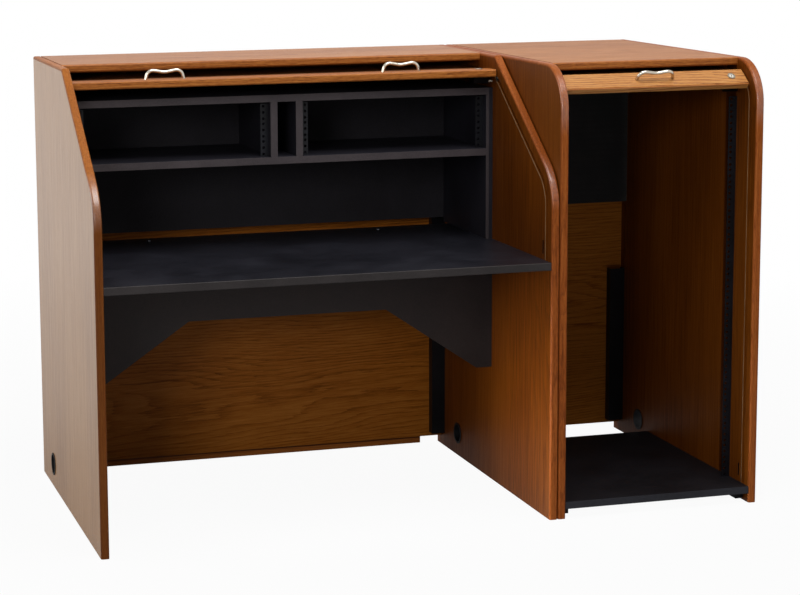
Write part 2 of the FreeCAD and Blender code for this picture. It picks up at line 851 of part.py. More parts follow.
def rest_pose(centre, tilt):
    """Placement that takes a piece from the rail's own frame to its rest pose."""
    y, z = centre
    return Placement(Vector(number("shift_x"), y + number("shift_y"), z), Rotation(Vector(1, 0, 0), tilt))


def local_box(label, x, y, z):
    """A square block in the rail's own frame."""
    block = doc.addObject("Part::Box", label)
    for size, (start, end) in (("Length", x), ("Width", y), ("Height", z)):
        block.setExpression(size, formula(f"{end} - ({start})"))
    for axis, (start, end) in (("x", x), ("y", y), ("z", z)):
        block.setExpression(f"Placement.Base.{axis}", formula(start))
    return block


def local_rod(label, x, z, length, diameter, axis=Vector(0, 0, 1)):
    """A round bar in the rail's own frame, along z or along x."""
    bar = doc.addObject("Part::Cylinder", label)
    bar.setExpression("Radius", formula(f"({diameter}) / 2"))
    bar.setExpression("Height", formula(length))
    bar.Placement = Placement(Vector(), Rotation(Vector(0, 0, 1), axis))
    bar.setExpression("Placement.Base.x", formula(x))
    bar.setExpression("Placement.Base.z", formula(z))
    return bar


def pull(label, middle):
    """A bent-wire pull: two legs that lean in to rounded shoulders with a dip between them."""
    x = number(middle)
    foot, shoulder = number("pull_span / 2"), number("pull_shoulder / 2")
    face = number("lead_thick / 2")
    corners = [(-foot, 0), (-shoulder, number("pull_rise")), (0, number("pull_dip"))]
    corners += [(-u, v) for u, v in reversed(corners[:2])]
    radii = [number("pull_shoulder_radius"), number("pull_dip_radius"), number("pull_shoulder_radius")]
    path = rounded_path(0, corners, radii)
    start = Vector(0, *corners[0])
    lean = (Vector(0, *corners[1]) - start).normalize()
    section = Part.Wire(Part.Circle(start, lean, number("pull_wire / 2")).toShape())
    wire = path.makePipeShell([section], True, True)
    wire.rotate(Vector(), Vector(0, 0, 1), -90)
    wire.translate(Vector(x, 0, face))
    below = Part.makeBox(number("2 * pull_span"), number("2 * pull_wire"), number("pull_rise"))
    below.translate(Vector(x - number("pull_span"), -number("pull_wire"), face - number("pull_rise")))
    return solid(label, wire.cut(below), shifted=False)


def lead_rail(prefix, left, right, pulls, centre, tilt):
    """A lead rail with its pulls, lock and end buttons."""
    start, end = f"({left} + lead_end_gap)", f"({right} - lead_end_gap)"
    half_width, half_thick = "lead_width / 2", "lead_thick / 2"
    section = [("0", "0"), ("lead_width", "0"), ("lead_width", "lead_thick"), ("0", "lead_thick")]
    blank = padded(prefix + "_lead_blank", "YZ_Plane", section, f"{end} - {start}")
    round_edges(blank, [("0", "0"), ("0", "lead_thick"), ("lead_width", "lead_thick")], "lead_round")
    blank.setExpression("Placement.Base.x", formula(start))
    blank.setExpression("Placement.Base.y", formula(f"-{half_width}"))
    blank.setExpression("Placement.Base.z", formula(f"-{half_thick}"))
    lock_x = f"{right} - lock_inset"
    across_x = Vector(1, 0, 0)
    bore_width = "button_spigot + 2 * spigot_fit"
    barrel_way = "lock_barrel + 2 * lock_barrel_fit"
    bores = [
        local_rod(prefix + "_left_bore", start, "0", "button_depth", bore_width, across_x),
        local_rod(prefix + "_right_bore", f"{end} - button_depth", "0", "button_depth", bore_width, across_x),
        local_rod(prefix + "_lock_bore", lock_x, f"-{half_thick}", "lead_thick", barrel_way),
    ]
    pieces = [cut(prefix + "_lead_rail", blank, bores)]
    pieces += [pull(label, middle) for label, middle in pulls]
    pieces += lock(prefix, lock_x, end)
    pieces.append(end_buttons(prefix, start, end))
    doc.recompute()
    pose = rest_pose(centre, tilt)
    for piece in pieces:
        piece.Placement = pose
        node(piece)


def lock(prefix, x, end):
    """Lock case with its barrel through the rail, the turning plug and the bolt at rest."""
    face, back = "lead_thick / 2", "-lead_thick / 2"
    barrel = local_rod(prefix + "_lock_barrel", x, back, "lead_thick", "lock_barrel")
    flange = local_rod(prefix + "_lock_flange", x, face, "lock_flange_thick", "lock_flange")
    case_x = (f"{x} - lock_case_width / 2", f"{x} + lock_case_width / 2")
    case_y = ("-lock_case_length / 2", "lock_case_length / 2")
    case_z = (f"{back} - lock_case_thick", back)
    case = local_box(prefix + "_lock_box", case_x, case_y, case_z)
    whole = doc.addObject("Part::MultiFuse", prefix + "_lock_whole")
    whole.Shapes = [barrel, flange, case]
    plug_length = "lead_thick + lock_flange_thick + lock_case_thick / 2"
    plug_foot = f"{back} - lock_case_thick / 2"
    plug_way = local_rod(prefix + "_plug_way", x, plug_foot, plug_length, "lock_plug + 2 * lock_plug_fit")
    bolt_y = ("-lock_bolt_width / 2", "lock_bolt_width / 2")
    bolt_low = f"{back} - (lock_case_thick + lock_bolt_thick) / 2 - lock_bolt_thick"
    bolt_z = (bolt_low, f"{bolt_low} + lock_bolt_thick")
    bolt_x = (f"{case_x[1]} - lock_case_width / 4", f"{case_x[1]} + lock_bolt_reach")
    way_x = (bolt_x[0], case_x[1])
    bolt_way = local_box(prefix + "_bolt_way", way_x, bolt_y, bolt_z)
    case_node = cut(prefix + "_lock_case", whole, [plug_way, bolt_way])
    bolt_blank = local_box(prefix + "_bolt_blank", bolt_x, bolt_y, bolt_z)
    notch_x = (f"{bolt_x[1]} - lock_bolt_hook", f"{bolt_x[1]} - lock_bolt_hook / 2")
    notch = local_box(prefix + "_bolt_notch", notch_x, (bolt_y[0], "0"), bolt_z)
    bolt = cut(prefix + "_lock_bolt", bolt_blank, [notch])
    plug_blank = local_rod(prefix + "_plug_blank", x, plug_foot, plug_length, "lock_plug")
    slot_x = (f"{x} - key_slot_width / 2", f"{x} + key_slot_width / 2")
    slot_y = ("-key_slot_length / 2", "key_slot_length / 2")
    top = f"{face} + lock_flange_thick"
    key_slot = local_box(prefix + "_key_slot", slot_x, slot_y, (f"{top} - key_slot_depth", top))
    return [case_node, cut(prefix + "_lock_plug", plug_blank, [key_slot]), bolt]


def end_buttons(prefix, start, end):
    """Round nylon buttons on spigots that keep the rail clear of the side panels."""
    across_x = Vector(1, 0, 0)
    buttons = []
    places = (("left", start, f"{start} - button_thick"), ("right", f"{end} - button_depth", end))
    for side, spigot_x, disc_x in places:
        name = f"{prefix}_{side}"
        spigot = local_rod(name + "_spigot", spigot_x, "0", "button_depth", "button_spigot", across_x)
        disc = local_rod(name + "_disc", disc_x, "0", "button_thick", "button_width", across_x)
        button = doc.addObject("Part::Fuse", name + "_button")
        button.Base = spigot
        button.Tool = disc
        buttons.append(button)
    return group(prefix + "_lead_buttons", buttons)


desk_pulls = [("desk_left_pull", "desk_left_pull_place"), ("desk_right_pull", "desk_right_pull_place")]
desk_centre = desk_lead_centre()
lead_rail("desk", "desk_left", "desk_right", desk_pulls, desk_centre, 0)
tower_centre = tower_lead_centre()
tower_pulls = [("tower_pull", "tower_pull_place")]
lead_rail("tower", "tower_left", "tower_right", tower_pulls, tower_centre, number("tower_lead_tilt"))

desk_start = desk_centre[0] + number("lead_width / 2 + curtain_gap")
curtain("desk", "desk_left", "desk_right", desk_start, number("desk_run"), int(number("desk_slats")))
tower_start_y = number("tower_curtain_start")
curtain("tower", "tower_left", "tower_right", tower_start_y, number("tower_run"), int(number("tower_slats")))


# Guide pins at the head of the slanted grooves, and the stop clips behind the lead rail

def slant_place(drop):
    """A place on the slanted run of the desk track, at a distance below its top bend."""
    lean = math.atan(number("slope"))
    reach = number("top_bend_radius") * math.tan(lean / 2) + drop
    y = number("track_slant_top") - reach * math.cos(lean)
    return y, number("desk_run") - reach * math.sin(lean)


pin_y, pin_z = slant_place(number("pin_drop"))
pin_radius = number("groove_width / 2 - pin_fit")
pin_length = number("groove_depth - pin_end_gap + button_thick")
pins = []
for start in (number("desk_left - groove_depth + pin_end_gap"), number("desk_right - button_thick")):
    pins.append(Part.makeCylinder(pin_radius, pin_length, Vector(start, pin_y, pin_z), Vector(1, 0, 0)))
node(solid("desk_curtain_pins", Part.makeCompound(pins)))


def stop_clip(face, inward):
    """A J of bent wire that stands out from a panel and hooks upward."""
    height, drop = number("clip_height"), number("clip_drop")
    reach = number("clip_reach") * inward
    corners = [(0, height - drop), (reach, height - drop), (reach, height)]
    path = rounded_path(0, corners, [number("clip_bend")])
    start = Vector(0, *corners[0])
    section = Part.Wire(Part.Circle(start, Vector(0, 1, 0), number("clip_wire / 2")).toShape())
    wire = path.makePipeShell([section], True, True)
    wire.rotate(Vector(), Vector(0, 0, 1), -90)
    wire.translate(Vector(number(face), number("clip_place"), 0))
    return wire


clips = [stop_clip("desk_left", 1), stop_clip("desk_right", -1)]
node(solid("desk_stop_clips", Part.makeCompound(clips)))

# Every object has to be sound before anything is written
doc.recompute()
for item in doc.Objects:
    if "Invalid" in item.State or "Error" in item.State:
        raise RuntimeError(f"{item.Name} failed: {item.State}")
for piece in nodes:
    if piece.Shape.isNull() or not piece.Shape.isValid():
        raise RuntimeError(f"{piece.Label} has no sound shape")

os.makedirs("parts", exist_ok=True)
for piece in nodes:
    piece.Shape.exportStep(f"parts/{piece.Label}.step")
    volume = piece.Shape.Volume / 1000
    print(f"{piece.Label}: {len(piece.Shape.Solids)} solids, {volume:.1f} cm3")
print(len(nodes), "nodes")
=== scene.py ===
# %% [markdown]
# # A tambour desk with a rack tower
# The real piece is a pair of oak-veneered cabinets: a desk whose slanted front is closed by a
# slatted curtain, and a narrow tower for equipment with a curtain of its own.
# All rigid parts already exist as a CAD frame, so this lesson loads that frame, gives every board
# and fitting its finish, and adds the soft and moving pieces that a CAD solid can't show.

# %% Load the frame
import math

import bmesh
import bpy
from mathutils import Matrix, Vector
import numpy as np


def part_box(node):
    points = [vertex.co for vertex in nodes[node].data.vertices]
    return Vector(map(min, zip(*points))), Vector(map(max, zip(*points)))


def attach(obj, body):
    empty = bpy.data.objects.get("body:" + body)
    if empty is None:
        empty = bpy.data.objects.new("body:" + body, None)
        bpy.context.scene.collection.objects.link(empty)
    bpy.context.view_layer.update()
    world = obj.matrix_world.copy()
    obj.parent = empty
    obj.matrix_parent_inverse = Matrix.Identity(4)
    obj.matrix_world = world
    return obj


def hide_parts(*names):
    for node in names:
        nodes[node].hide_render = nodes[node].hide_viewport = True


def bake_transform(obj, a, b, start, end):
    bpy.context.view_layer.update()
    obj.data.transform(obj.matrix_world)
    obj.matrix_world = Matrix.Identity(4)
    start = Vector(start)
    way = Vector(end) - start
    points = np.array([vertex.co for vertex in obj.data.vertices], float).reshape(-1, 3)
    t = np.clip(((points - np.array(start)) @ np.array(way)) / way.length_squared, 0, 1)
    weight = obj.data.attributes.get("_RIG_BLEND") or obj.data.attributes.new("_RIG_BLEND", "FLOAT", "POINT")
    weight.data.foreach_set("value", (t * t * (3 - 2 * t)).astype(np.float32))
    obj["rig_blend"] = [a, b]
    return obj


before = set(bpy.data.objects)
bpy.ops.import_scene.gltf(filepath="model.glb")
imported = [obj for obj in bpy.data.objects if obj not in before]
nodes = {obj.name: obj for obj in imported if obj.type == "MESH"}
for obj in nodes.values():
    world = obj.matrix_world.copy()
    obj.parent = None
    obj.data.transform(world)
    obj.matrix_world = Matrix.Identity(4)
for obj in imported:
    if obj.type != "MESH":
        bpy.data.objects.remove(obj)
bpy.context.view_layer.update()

# %% [markdown]
# ## Camera
# The photograph was taken from the left of the middle, a little above the tops, with a long lens.
# The camera could be aimed with a Track To constraint, but a matrix built from three directions
# also holds the slight roll of the picture, and nothing is left that could turn it later.

# %% Camera
EYE = Vector((-1.71640, -5.33059, 1.52881))
YAW, PITCH, ROLL = (math.radians(angle) for angle in (15.0196, -8.5059, 0.5829))

level = math.cos(PITCH)
forward = Vector((math.sin(YAW) * level, math.cos(YAW) * level, math.sin(PITCH)))
right = forward.cross(Vector((0, 0, 1))).normalized()
down = forward.cross(right)
across = right * math.cos(ROLL) + down * math.sin(ROLL)
upward = right * math.sin(ROLL) - down * math.cos(ROLL)
turn = Matrix((across, upward, -forward)).transposed().to_4x4()

lens = bpy.data.cameras.new("photo_camera")
lens.sensor_width = 36
lens.lens = 99.189
lens.shift_x = 0.15
lens.shift_y = -0.0906
camera = bpy.data.objects.new("photo_camera", lens)
camera.matrix_world = Matrix.Translation(EYE) @ turn
bpy.context.collection.objects.link(camera)
bpy.context.scene.camera = camera
bpy.context.scene.view_settings.view_transform = "Standard"
print("camera at", [round(value, 3) for value in EYE])
print("looking along", [round(value, 3) for value in forward])

# %% [markdown]
# ## Building node trees
# Each finish below is a small network of nodes, which could be wired by hand in the Shader Editor.
# Helpers keep the networks readable in a script: one adds a node with its settings and links, and
# the others are short words for the nodes that come back in every finish.


# %% Node helpers
def add_node(tree, kind, inputs=None, **settings):
    """Add a node; inputs may hold plain values or the outputs of other nodes."""
    item = tree.nodes.new(kind)
    for name, value in settings.items():
        setattr(item, name, value)
    for name, value in (inputs or {}).items():
        if isinstance(value, bpy.types.NodeSocket):
            tree.links.new(value, item.inputs[name])
        else:
            item.inputs[name].default_value = value
    return item


def mix_colours(tree, factor, first, second):
    """Mix two colours by a factor that varies over the surface."""
    inputs = {0: factor, 6: first, 7: second}
    return add_node(tree, "ShaderNodeMix", inputs, data_type="RGBA").outputs[2]


def to_range(tree, value, low, high, start=0.0, end=1.0):
    """Stretch a pattern from the range low to high onto the range start to end."""
    inputs = {"Value": value, "From Min": low, "From Max": high, "To Min": start, "To Max": end}
    return add_node(tree, "ShaderNodeMapRange", inputs).outputs["Result"]


def math_node(tree, operation, first, second=0.0):
    """One step of arithmetic on two patterns."""
    inputs = {0: first, 1: second}
    return add_node(tree, "ShaderNodeMath", inputs, operation=operation).outputs[0]


def vector_node(tree, operation, first, second=(0, 0, 0)):
    """One step of arithmetic on two vectors; a length leaves by the output Value."""
    inputs = {0: first, 1: second}
    return add_node(tree, "ShaderNodeVectorMath", inputs, operation=operation).outputs


def window(tree, value, low, high, fade):
    """One between two limits and nought beyond them, with a soft step just inside each."""
    return math_node(tree, "MULTIPLY", to_range(tree, value, low, low + fade),
                     to_range(tree, value, high, high - fade))


def noise(tree, place, scale, detail=3.0, roughness=0.5):
    """A soft random pattern."""
    inputs = {"Vector": place, "Scale": scale, "Detail": detail, "Roughness": roughness}
    return add_node(tree, "ShaderNodeTexNoise", inputs).outputs["Fac"]


def object_place(tree, rotation=(0, 0, 0), scale=(1, 1, 1)):
    """Object coordinates, turned and stretched."""
    source = add_node(tree, "ShaderNodeTexCoord").outputs["Object"]
    inputs = {"Vector": source, "Rotation": rotation, "Scale": scale}
    return add_node(tree, "ShaderNodeMapping", inputs).outputs["Vector"]


def bump(tree, shader, height, distance, strength=1.0):
    """Raise and sink the surface by a pattern."""
    inputs = {"Height": height, "Distance": distance, "Strength": strength}
    raised = add_node(tree, "ShaderNodeBump", inputs).outputs["Normal"]
    tree.links.new(raised, shader.inputs["Normal"])


print("node helpers ready")

# %% [markdown]
# ## Giving out finishes
# Boards and fittings come from the frame, so they only need a material. A piece that is made here
# also needs a mesh, a finish and a body to ride on. It could be set up by hand each time, but
# one function for each of the two kinds makes sure that nothing is forgotten.

# %% Piece helpers
MM = 0.001
dressed = set()


def tone(red, green, blue):
    """A colour as it shows on screen, turned into the linear values that shaders use."""
    return tuple((channel / 255) ** 2.2 for channel in (red, green, blue))


def new_finish(name):
    """An empty material with one shader."""
    material = bpy.data.materials.new(name)
    material.use_nodes = True
    tree = material.node_tree
    tree.nodes.clear()
    shader = tree.nodes.new("ShaderNodeBsdfPrincipled")
    output = tree.nodes.new("ShaderNodeOutputMaterial")
    tree.links.new(shader.outputs["BSDF"], output.inputs["Surface"])
    return material, tree, shader


def dress(finish, *names):
    """Give a finish to CAD nodes."""
    for name in names:
        item = nodes[name]
        if not item.material_slots:
            item.data.materials.append(finish)
        for material_slot in item.material_slots:
            material_slot.material = finish
    dressed.update(names)


def new_piece(name, shape, finish, body=None):
    """Turn finished bmesh work into an object with a finish and a body to ride on."""
    mesh = bpy.data.meshes.new(name)
    shape.to_mesh(mesh)
    shape.free()
    mesh.materials.append(finish)
    item = bpy.data.objects.new(name, mesh)
    bpy.context.collection.objects.link(item)
    if body:
        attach(item, body)
    return item


print("piece helpers ready")

# %% [markdown]
# ## Floor
# The photograph is a cut-out on white. A white floor could be made by lighting it harder, but that
# would bleach the wood too. Here the floor shows itself nearly white to the camera through Light
# Path, keeps a part of its real shading near the object, so that the shadow stays, and lights the
# object plainly.

# %% Floor
FLOOR_RADIUS = 40
SHADOW_REACH = (1.4, 3.6)
MIRROR_REACH = (0.8, 4.5)

floor_mesh = bpy.data.meshes.new("floor")
shape = bmesh.new()
bmesh.ops.create_circle(shape, cap_ends=True, radius=FLOOR_RADIUS, segments=96)
shape.to_mesh(floor_mesh)
shape.free()
floor = bpy.data.objects.new("floor", floor_mesh)
bpy.context.collection.objects.link(floor)

floor_finish, tree, shader = new_finish("pale_floor")
shader.inputs["Roughness"].default_value = 0.9
pale = add_node(tree, "ShaderNodeValToRGB", {"Fac": noise(tree, object_place(tree), 60.0)})
pale.color_ramp.elements[0].color = (0.44, 0.44, 0.44, 1)
pale.color_ramp.elements[1].color = (0.48, 0.48, 0.48, 1)
tree.links.new(pale.outputs["Color"], shader.inputs["Base Color"])
glow = add_node(tree, "ShaderNodeEmission", {"Color": (1, 1, 1, 1), "Strength": 1.0})
path = add_node(tree, "ShaderNodeLightPath").outputs
seen = math_node(tree, "MAXIMUM", path["Is Camera Ray"], path["Is Transmission Ray"])
away = vector_node(tree, "LENGTH", object_place(tree))["Value"]
share = math_node(tree, "MULTIPLY", seen, to_range(tree, away, *SHADOW_REACH, 0.95, 1.0))
mirrored = math_node(tree, "MULTIPLY", path["Is Glossy Ray"],
                     to_range(tree, away, *MIRROR_REACH, 0.25, 1.0))
share = math_node(tree, "ADD", share, mirrored)
layers = {0: share, 1: shader.outputs["BSDF"], 2: glow.outputs[0]}
mixed = add_node(tree, "ShaderNodeMixShader", layers)
tree.links.new(mixed.outputs[0], tree.nodes["Material Output"].inputs["Surface"])
floor_mesh.materials.append(floor_finish)
print("floor of radius", FLOOR_RADIUS, "m")

# %% [markdown]
# ## Surroundings and lamps
# A studio lights such a desk with large soft boxes from above, the front and the left. Point lamps
# would give hard shadows, so square area lamps are used. The world is white to the camera and to
# reflections, and only a faint grey to the wood. A small lamp in the knee space lights the desk's
# right panel, as a pale room would by the light that it throws back.

# %% Surroundings and lamps
world = bpy.data.worlds.new("studio")
bpy.context.scene.world = world
world.use_nodes = True
tree = world.node_tree
tree.nodes.clear()
path = add_node(tree, "ShaderNodeLightPath").outputs
seen = math_node(tree, "MAXIMUM", path["Is Camera Ray"], path["Is Glossy Ray"])
seen = math_node(tree, "MAXIMUM", seen, path["Is Transmission Ray"])
soft = add_node(tree, "ShaderNodeBackground", {"Color": (1, 1, 1, 1), "Strength": 0.05})
white = add_node(tree, "ShaderNodeBackground", {"Color": (1, 1, 1, 1), "Strength": 1.0})
layers = {0: seen, 1: soft.outputs[0], 2: white.outputs[0]}
mixed = add_node(tree, "ShaderNodeMixShader", layers)
output = tree.nodes.new("ShaderNodeOutputWorld")
tree.links.new(mixed.outputs[0], output.inputs["Surface"])


def soft_box(name, place, target, size, power, spread=180):
    """A square lamp that faces a point; spread narrows its light to a cone of so many degrees."""
    lamp = bpy.data.lights.new(name, "AREA")
    lamp.shape = "SQUARE"
    lamp.size = size
    lamp.energy = power
    lamp.spread = math.radians(spread)
    item = bpy.data.objects.new(name, lamp)
    direction = Vector(target) - Vector(place)
    facing = direction.to_track_quat("-Z", "Y").to_matrix().to_4x4()
    item.matrix_world = Matrix.Translation(Vector(place)) @ facing
    item.visible_camera = False
    bpy.context.collection.objects.link(item)
    return item


LAMPS = [
    soft_box("top_light", (0.3, -1.5, 4.6), (0.0, -0.1, 0.5), size=3.0, power=200),
    soft_box("front_light", (-2.9, -4.6, 2.0), (0.3, 0, 0.4), size=1.2, power=62),
    soft_box("side_light", (-4.4, 1.6, 2.5), (-0.8, 0, 0.9), size=2.4, power=76),
    soft_box("knee_light", (-0.76, -0.40, 0.22), (0.28, -0.40, 0.2), size=0.3, power=1.3,
             spread=52),
]
print("lamps:", [lamp.name for lamp in LAMPS])

# %% [markdown]
# ## Oak
# The cabinets are veneered in oak: upright grain on the end panels, level grain on the tops, backs
# and rails. A Wave texture alone gives stripes that look printed. Here the boards are sliced from
# a log instead: the distance from the log's middle line gives the growth rings, and because the
# log leans a little in the board, the rings close into the long arches of flat-cut veneer.

# %% Growth rings
GRAIN_TURN = {"X": (0, 0, 0), "Z": (0, math.pi / 2, 0)}
SLAT_SCATTER = (3.1, 0.83, 0.47)


def stretched(tree, place, along):
    """A place whose patterns are drawn out along the grain."""
    inputs = {"Vector": place, "Scale": (along, 1.0, 1.0)}
    return add_node(tree, "ShaderNodeMapping", inputs).outputs["Vector"]


def log_place(tree, grain, heart, lean, shift):
    """Where a point lies in the log that its board was cut from."""
    along = object_place(tree, rotation=GRAIN_TURN[grain])
    if shift:
        apart = vector_node(tree, "MULTIPLY", shift.outputs["Vector"], SLAT_SCATTER)["Vector"]
        along = vector_node(tree, "ADD", along, apart)["Vector"]
    inputs = {"Vector": along, "Location": heart, "Rotation": lean}
    return add_node(tree, "ShaderNodeMapping", inputs).outputs["Vector"]


def growth_rings(tree, log, fibres, slow, ring):
    """Ragged rings round the log's middle line, each from dark to pale."""
    wander = add_node(tree, "ShaderNodeTexNoise", {"Vector": slow, "Scale": 4.5, "Detail": 3.0})
    wander = vector_node(tree, "MULTIPLY", wander.outputs["Color"], (0.0, 0.10, 0.10))["Vector"]
    bent = vector_node(tree, "ADD", log, wander)["Vector"]
    section = vector_node(tree, "MULTIPLY", bent, (0.0, 1.0, 1.0))["Vector"]
    radius = vector_node(tree, "LENGTH", section)["Value"]
    ragged = math_node(tree, "MULTIPLY", noise(tree, fibres, 170.0, 4.0, 0.6), 0.7)
    turns = math_node(tree, "ADD", math_node(tree, "DIVIDE", radius, ring), ragged)
    growth = add_node(tree, "ShaderNodeValToRGB", {"Fac": math_node(tree, "FRACT", turns)})
    for position, grey in ((0.16, 0.35), (0.42, 0.85)):
        growth.color_ramp.elements.new(position).color = (grey, grey, grey, 1)
    return growth.outputs["Color"]


print("grain may run along", sorted(GRAIN_TURN))

# %% [markdown]
# Streaks and pores, stretched along the grain, lie over the rings. Shade is also painted into some
# boards: darker by height, a dark strip of depths behind a rail, and shaded tones on an inner face
# while the outer face is lifted out of them. Bands are also shinier where hands rub them. Vertex
# paint could hold that, but heights and depths read from Object coordinates need no extra data.

# %% Oak finish
WOOD_ROUGH = 0.44
STRIP_FADE = 0.004
RUBBED_FADE = 0.05
OUTER_SKIN = 0.0005


def paint_shade(tree, axes, colour, wood, darkest, shade, shadow_strip, outer):
    """Paint shade into a board in a strip of depths or by height, and lift the face beyond a place out of
    its shaded tones.
    """
    # Painted shadow: a dark strip between two depths, such as the space behind a rail.
    if shadow_strip:
        strip = math_node(tree, "MULTIPLY", window(tree, axes["Y"], *shadow_strip, STRIP_FADE), 0.85)
        colour = mix_colours(tree, strip, colour, darkest)
    # The inner face keeps shaded tones as painted shade; beyond this place the outer face gets the unshaded
    # colour.
    if outer:
        outside = to_range(tree, axes["X"], outer - OUTER_SKIN, outer)
        inputs = {"Color": wood, "Saturation": 0.9, "Value": 1.75}
        unshaded_face = add_node(tree, "ShaderNodeHueSaturation", inputs).outputs["Color"]
        colour = mix_colours(tree, outside, colour, unshaded_face)
    # Painted shade: the colour darkens with height from pale_height towards dark_height.
    if shade:
        pale_height, dark_height, amount = shade
        fall = to_range(tree, axes["Z"], pale_height, dark_height, 0.0, amount)
        colour = mix_colours(tree, fall, colour, darkest)
    return colour


def oak(name, grain, heart, tones, lean, ring, gloss=0.3, contrast=1.0, coat=0.0, shifts=None,
        shine=None, shade=None, shadow_strip=None, outer=None, fleck=0.0):
    """Oak with its grain along an axis; heart shifts the log's middle, tones run dark to pale."""
    material, tree, shader = new_finish(name)
    shift = add_node(tree, "ShaderNodeAttribute", attribute_name=shifts) if shifts else None
    log = log_place(tree, grain, heart, lean, shift)
    fibres, slow = stretched(tree, log, 0.018), stretched(tree, log, 0.2)
    growth = growth_rings(tree, log, fibres, slow, ring)
    streaks = noise(tree, fibres, 210.0, 6.0, 0.62)
    fine = noise(tree, fibres, 760.0, 3.0, 0.6)
    pores = to_range(tree, noise(tree, fibres, 1300.0, 2.0, 0.7), 0.54, 0.68)
    pores = math_node(tree, "MULTIPLY", pores, math_node(tree, "SUBTRACT", 1.1, growth))

    patterns = [to_range(tree, streaks, 0.34, 0.66, -0.03, 0.39),
                to_range(tree, fine, 0.35, 0.65, -0.13, 0.13),
                to_range(tree, noise(tree, slow, 4.0, 2.0), 0.35, 0.65, -0.06, 0.2)]
    if fleck:
        flecks = noise(tree, stretched(tree, log, 0.14), 430.0, 3.0, 0.65)
        patterns.append(to_range(tree, flecks, 0.36, 0.62, -fleck, fleck))
    if shift:
        patterns.append(to_range(tree, shift.outputs["Fac"], 0.0, 1.0, -0.14, 0.14))
    value = math_node(tree, "MULTIPLY", growth, 0.36 * contrast)
    for pattern in patterns:
        value = math_node(tree, "ADD", value, pattern)

    ramp = add_node(tree, "ShaderNodeValToRGB", {"Fac": value})
    ramp.color_ramp.elements[0].color = (*tones[0], 1)
    ramp.color_ramp.elements[1].color = (*tones[2], 1)
    ramp.color_ramp.elements.new(0.45).color = (*tones[1], 1)
    wood = ramp.outputs["Color"]
    darkest = tuple(0.5 * channel for channel in tones[0]) + (1,)
    colour = mix_colours(tree, math_node(tree, "MULTIPLY", pores, 0.6), wood, darkest)
    axes = add_node(tree, "ShaderNodeSeparateXYZ", {0: object_place(tree)}).outputs
    colour = paint_shade(tree, axes, colour, wood, darkest, shade, shadow_strip, outer)
    tree.links.new(colour, shader.inputs["Base Color"])

    dull = to_range(tree, streaks, 0.3, 0.7, WOOD_ROUGH + 0.06, WOOD_ROUGH - 0.06)
    dull = math_node(tree, "ADD", dull, math_node(tree, "MULTIPLY", pores, 0.15))
    if shine:
        rubbed = window(tree, axes["Z"], *shine, RUBBED_FADE)
        dull = math_node(tree, "SUBTRACT", dull, math_node(tree, "MULTIPLY", rubbed, 0.2))
        glossy = to_range(tree, rubbed, 0.0, 1.0, gloss, 0.8)
        tree.links.new(glossy, shader.inputs["Specular IOR Level"])
    tree.links.new(dull, shader.inputs["Roughness"])
    height = math_node(tree, "SUBTRACT", math_node(tree, "MULTIPLY", fine, 0.4), pores)
    bump(tree, shader, height, 0.00025, 0.6)
    shader.inputs["Specular IOR Level"].default_value = gloss
    shader.inputs["Coat Weight"].default_value = coat
    shader.inputs["Coat Roughness"].default_value = 0.25
    return material


print("oak is about", WOOD_ROUGH, "rough")

# %% [markdown]
# Every board gets an oak of its own, cut from another part of the log, because real boards never
# repeat. The bands on the edges are solid wood, so their grain follows their length, and hands have
# rubbed them shinier where they bend.

# %% Oak tones
WARM = (tone(102, 57, 20), tone(147, 88, 36), tone(177, 115, 56))
# A darker copy of the oak for end panels seen from inside: painted shade of the interior.
SHADED_OAK = (tone(73, 35, 8), tone(108, 58, 16), tone(132, 76, 28))
HONEY = (tone(104, 57, 15), tone(152, 89, 29), tone(180, 114, 47))
# Brighter tones for the tower back: its oak, partly lifted by painted light that falls inside the tower.
AMBER = (tone(134, 75, 24), tone(196, 118, 42), tone(222, 146, 62))
# A paler copy of the oak for the desk's left outer face: painted light for the wash of light on it.
LIT_FACE_OAK = (tone(122, 80, 38), tone(155, 107, 55), tone(178, 129, 71))
BAND = (tone(108, 57, 22), tone(152, 88, 37), tone(180, 113, 54))
# A darker copy of the band tones for the right-hand bands: painted shade on their upright faces.
SHADED_BAND = (tone(104, 51, 19), tone(143, 76, 33), tone(168, 97, 46))
PALE = (tone(104, 58, 20), tone(164, 104, 48), tone(192, 136, 74))
# A darker copy of the slat oak: painted shade for slats that lie behind the rail.
SHADED_SLAT = (tone(60, 31, 11), tone(88, 49, 19), tone(108, 65, 29))
STRAIGHT = (0.0, 0.004, 0.005)
ARCHED = (0.0, 0.035, 0.03)
print("oak tones:", len(WARM), "steps each")

# %% Oak on the panels and boards
dress(oak("left_end_oak", "Z", (0.3, 0.40, -0.72), LIT_FACE_OAK, STRAIGHT, 0.006, gloss=0.5, coat=0.42),
      "desk_left_panel")
dress(oak("right_end_oak", "Z", (1.1, 0.34, 0.46), SHADED_OAK, STRAIGHT, 0.006, 0.1, contrast=0.45),
      "desk_right_panel")
dress(oak("tower_left_oak", "Z", (2.3, 0.44, 0.48), SHADED_OAK, STRAIGHT, 0.006, 0.15, contrast=0.6),
      "tower_left_panel")
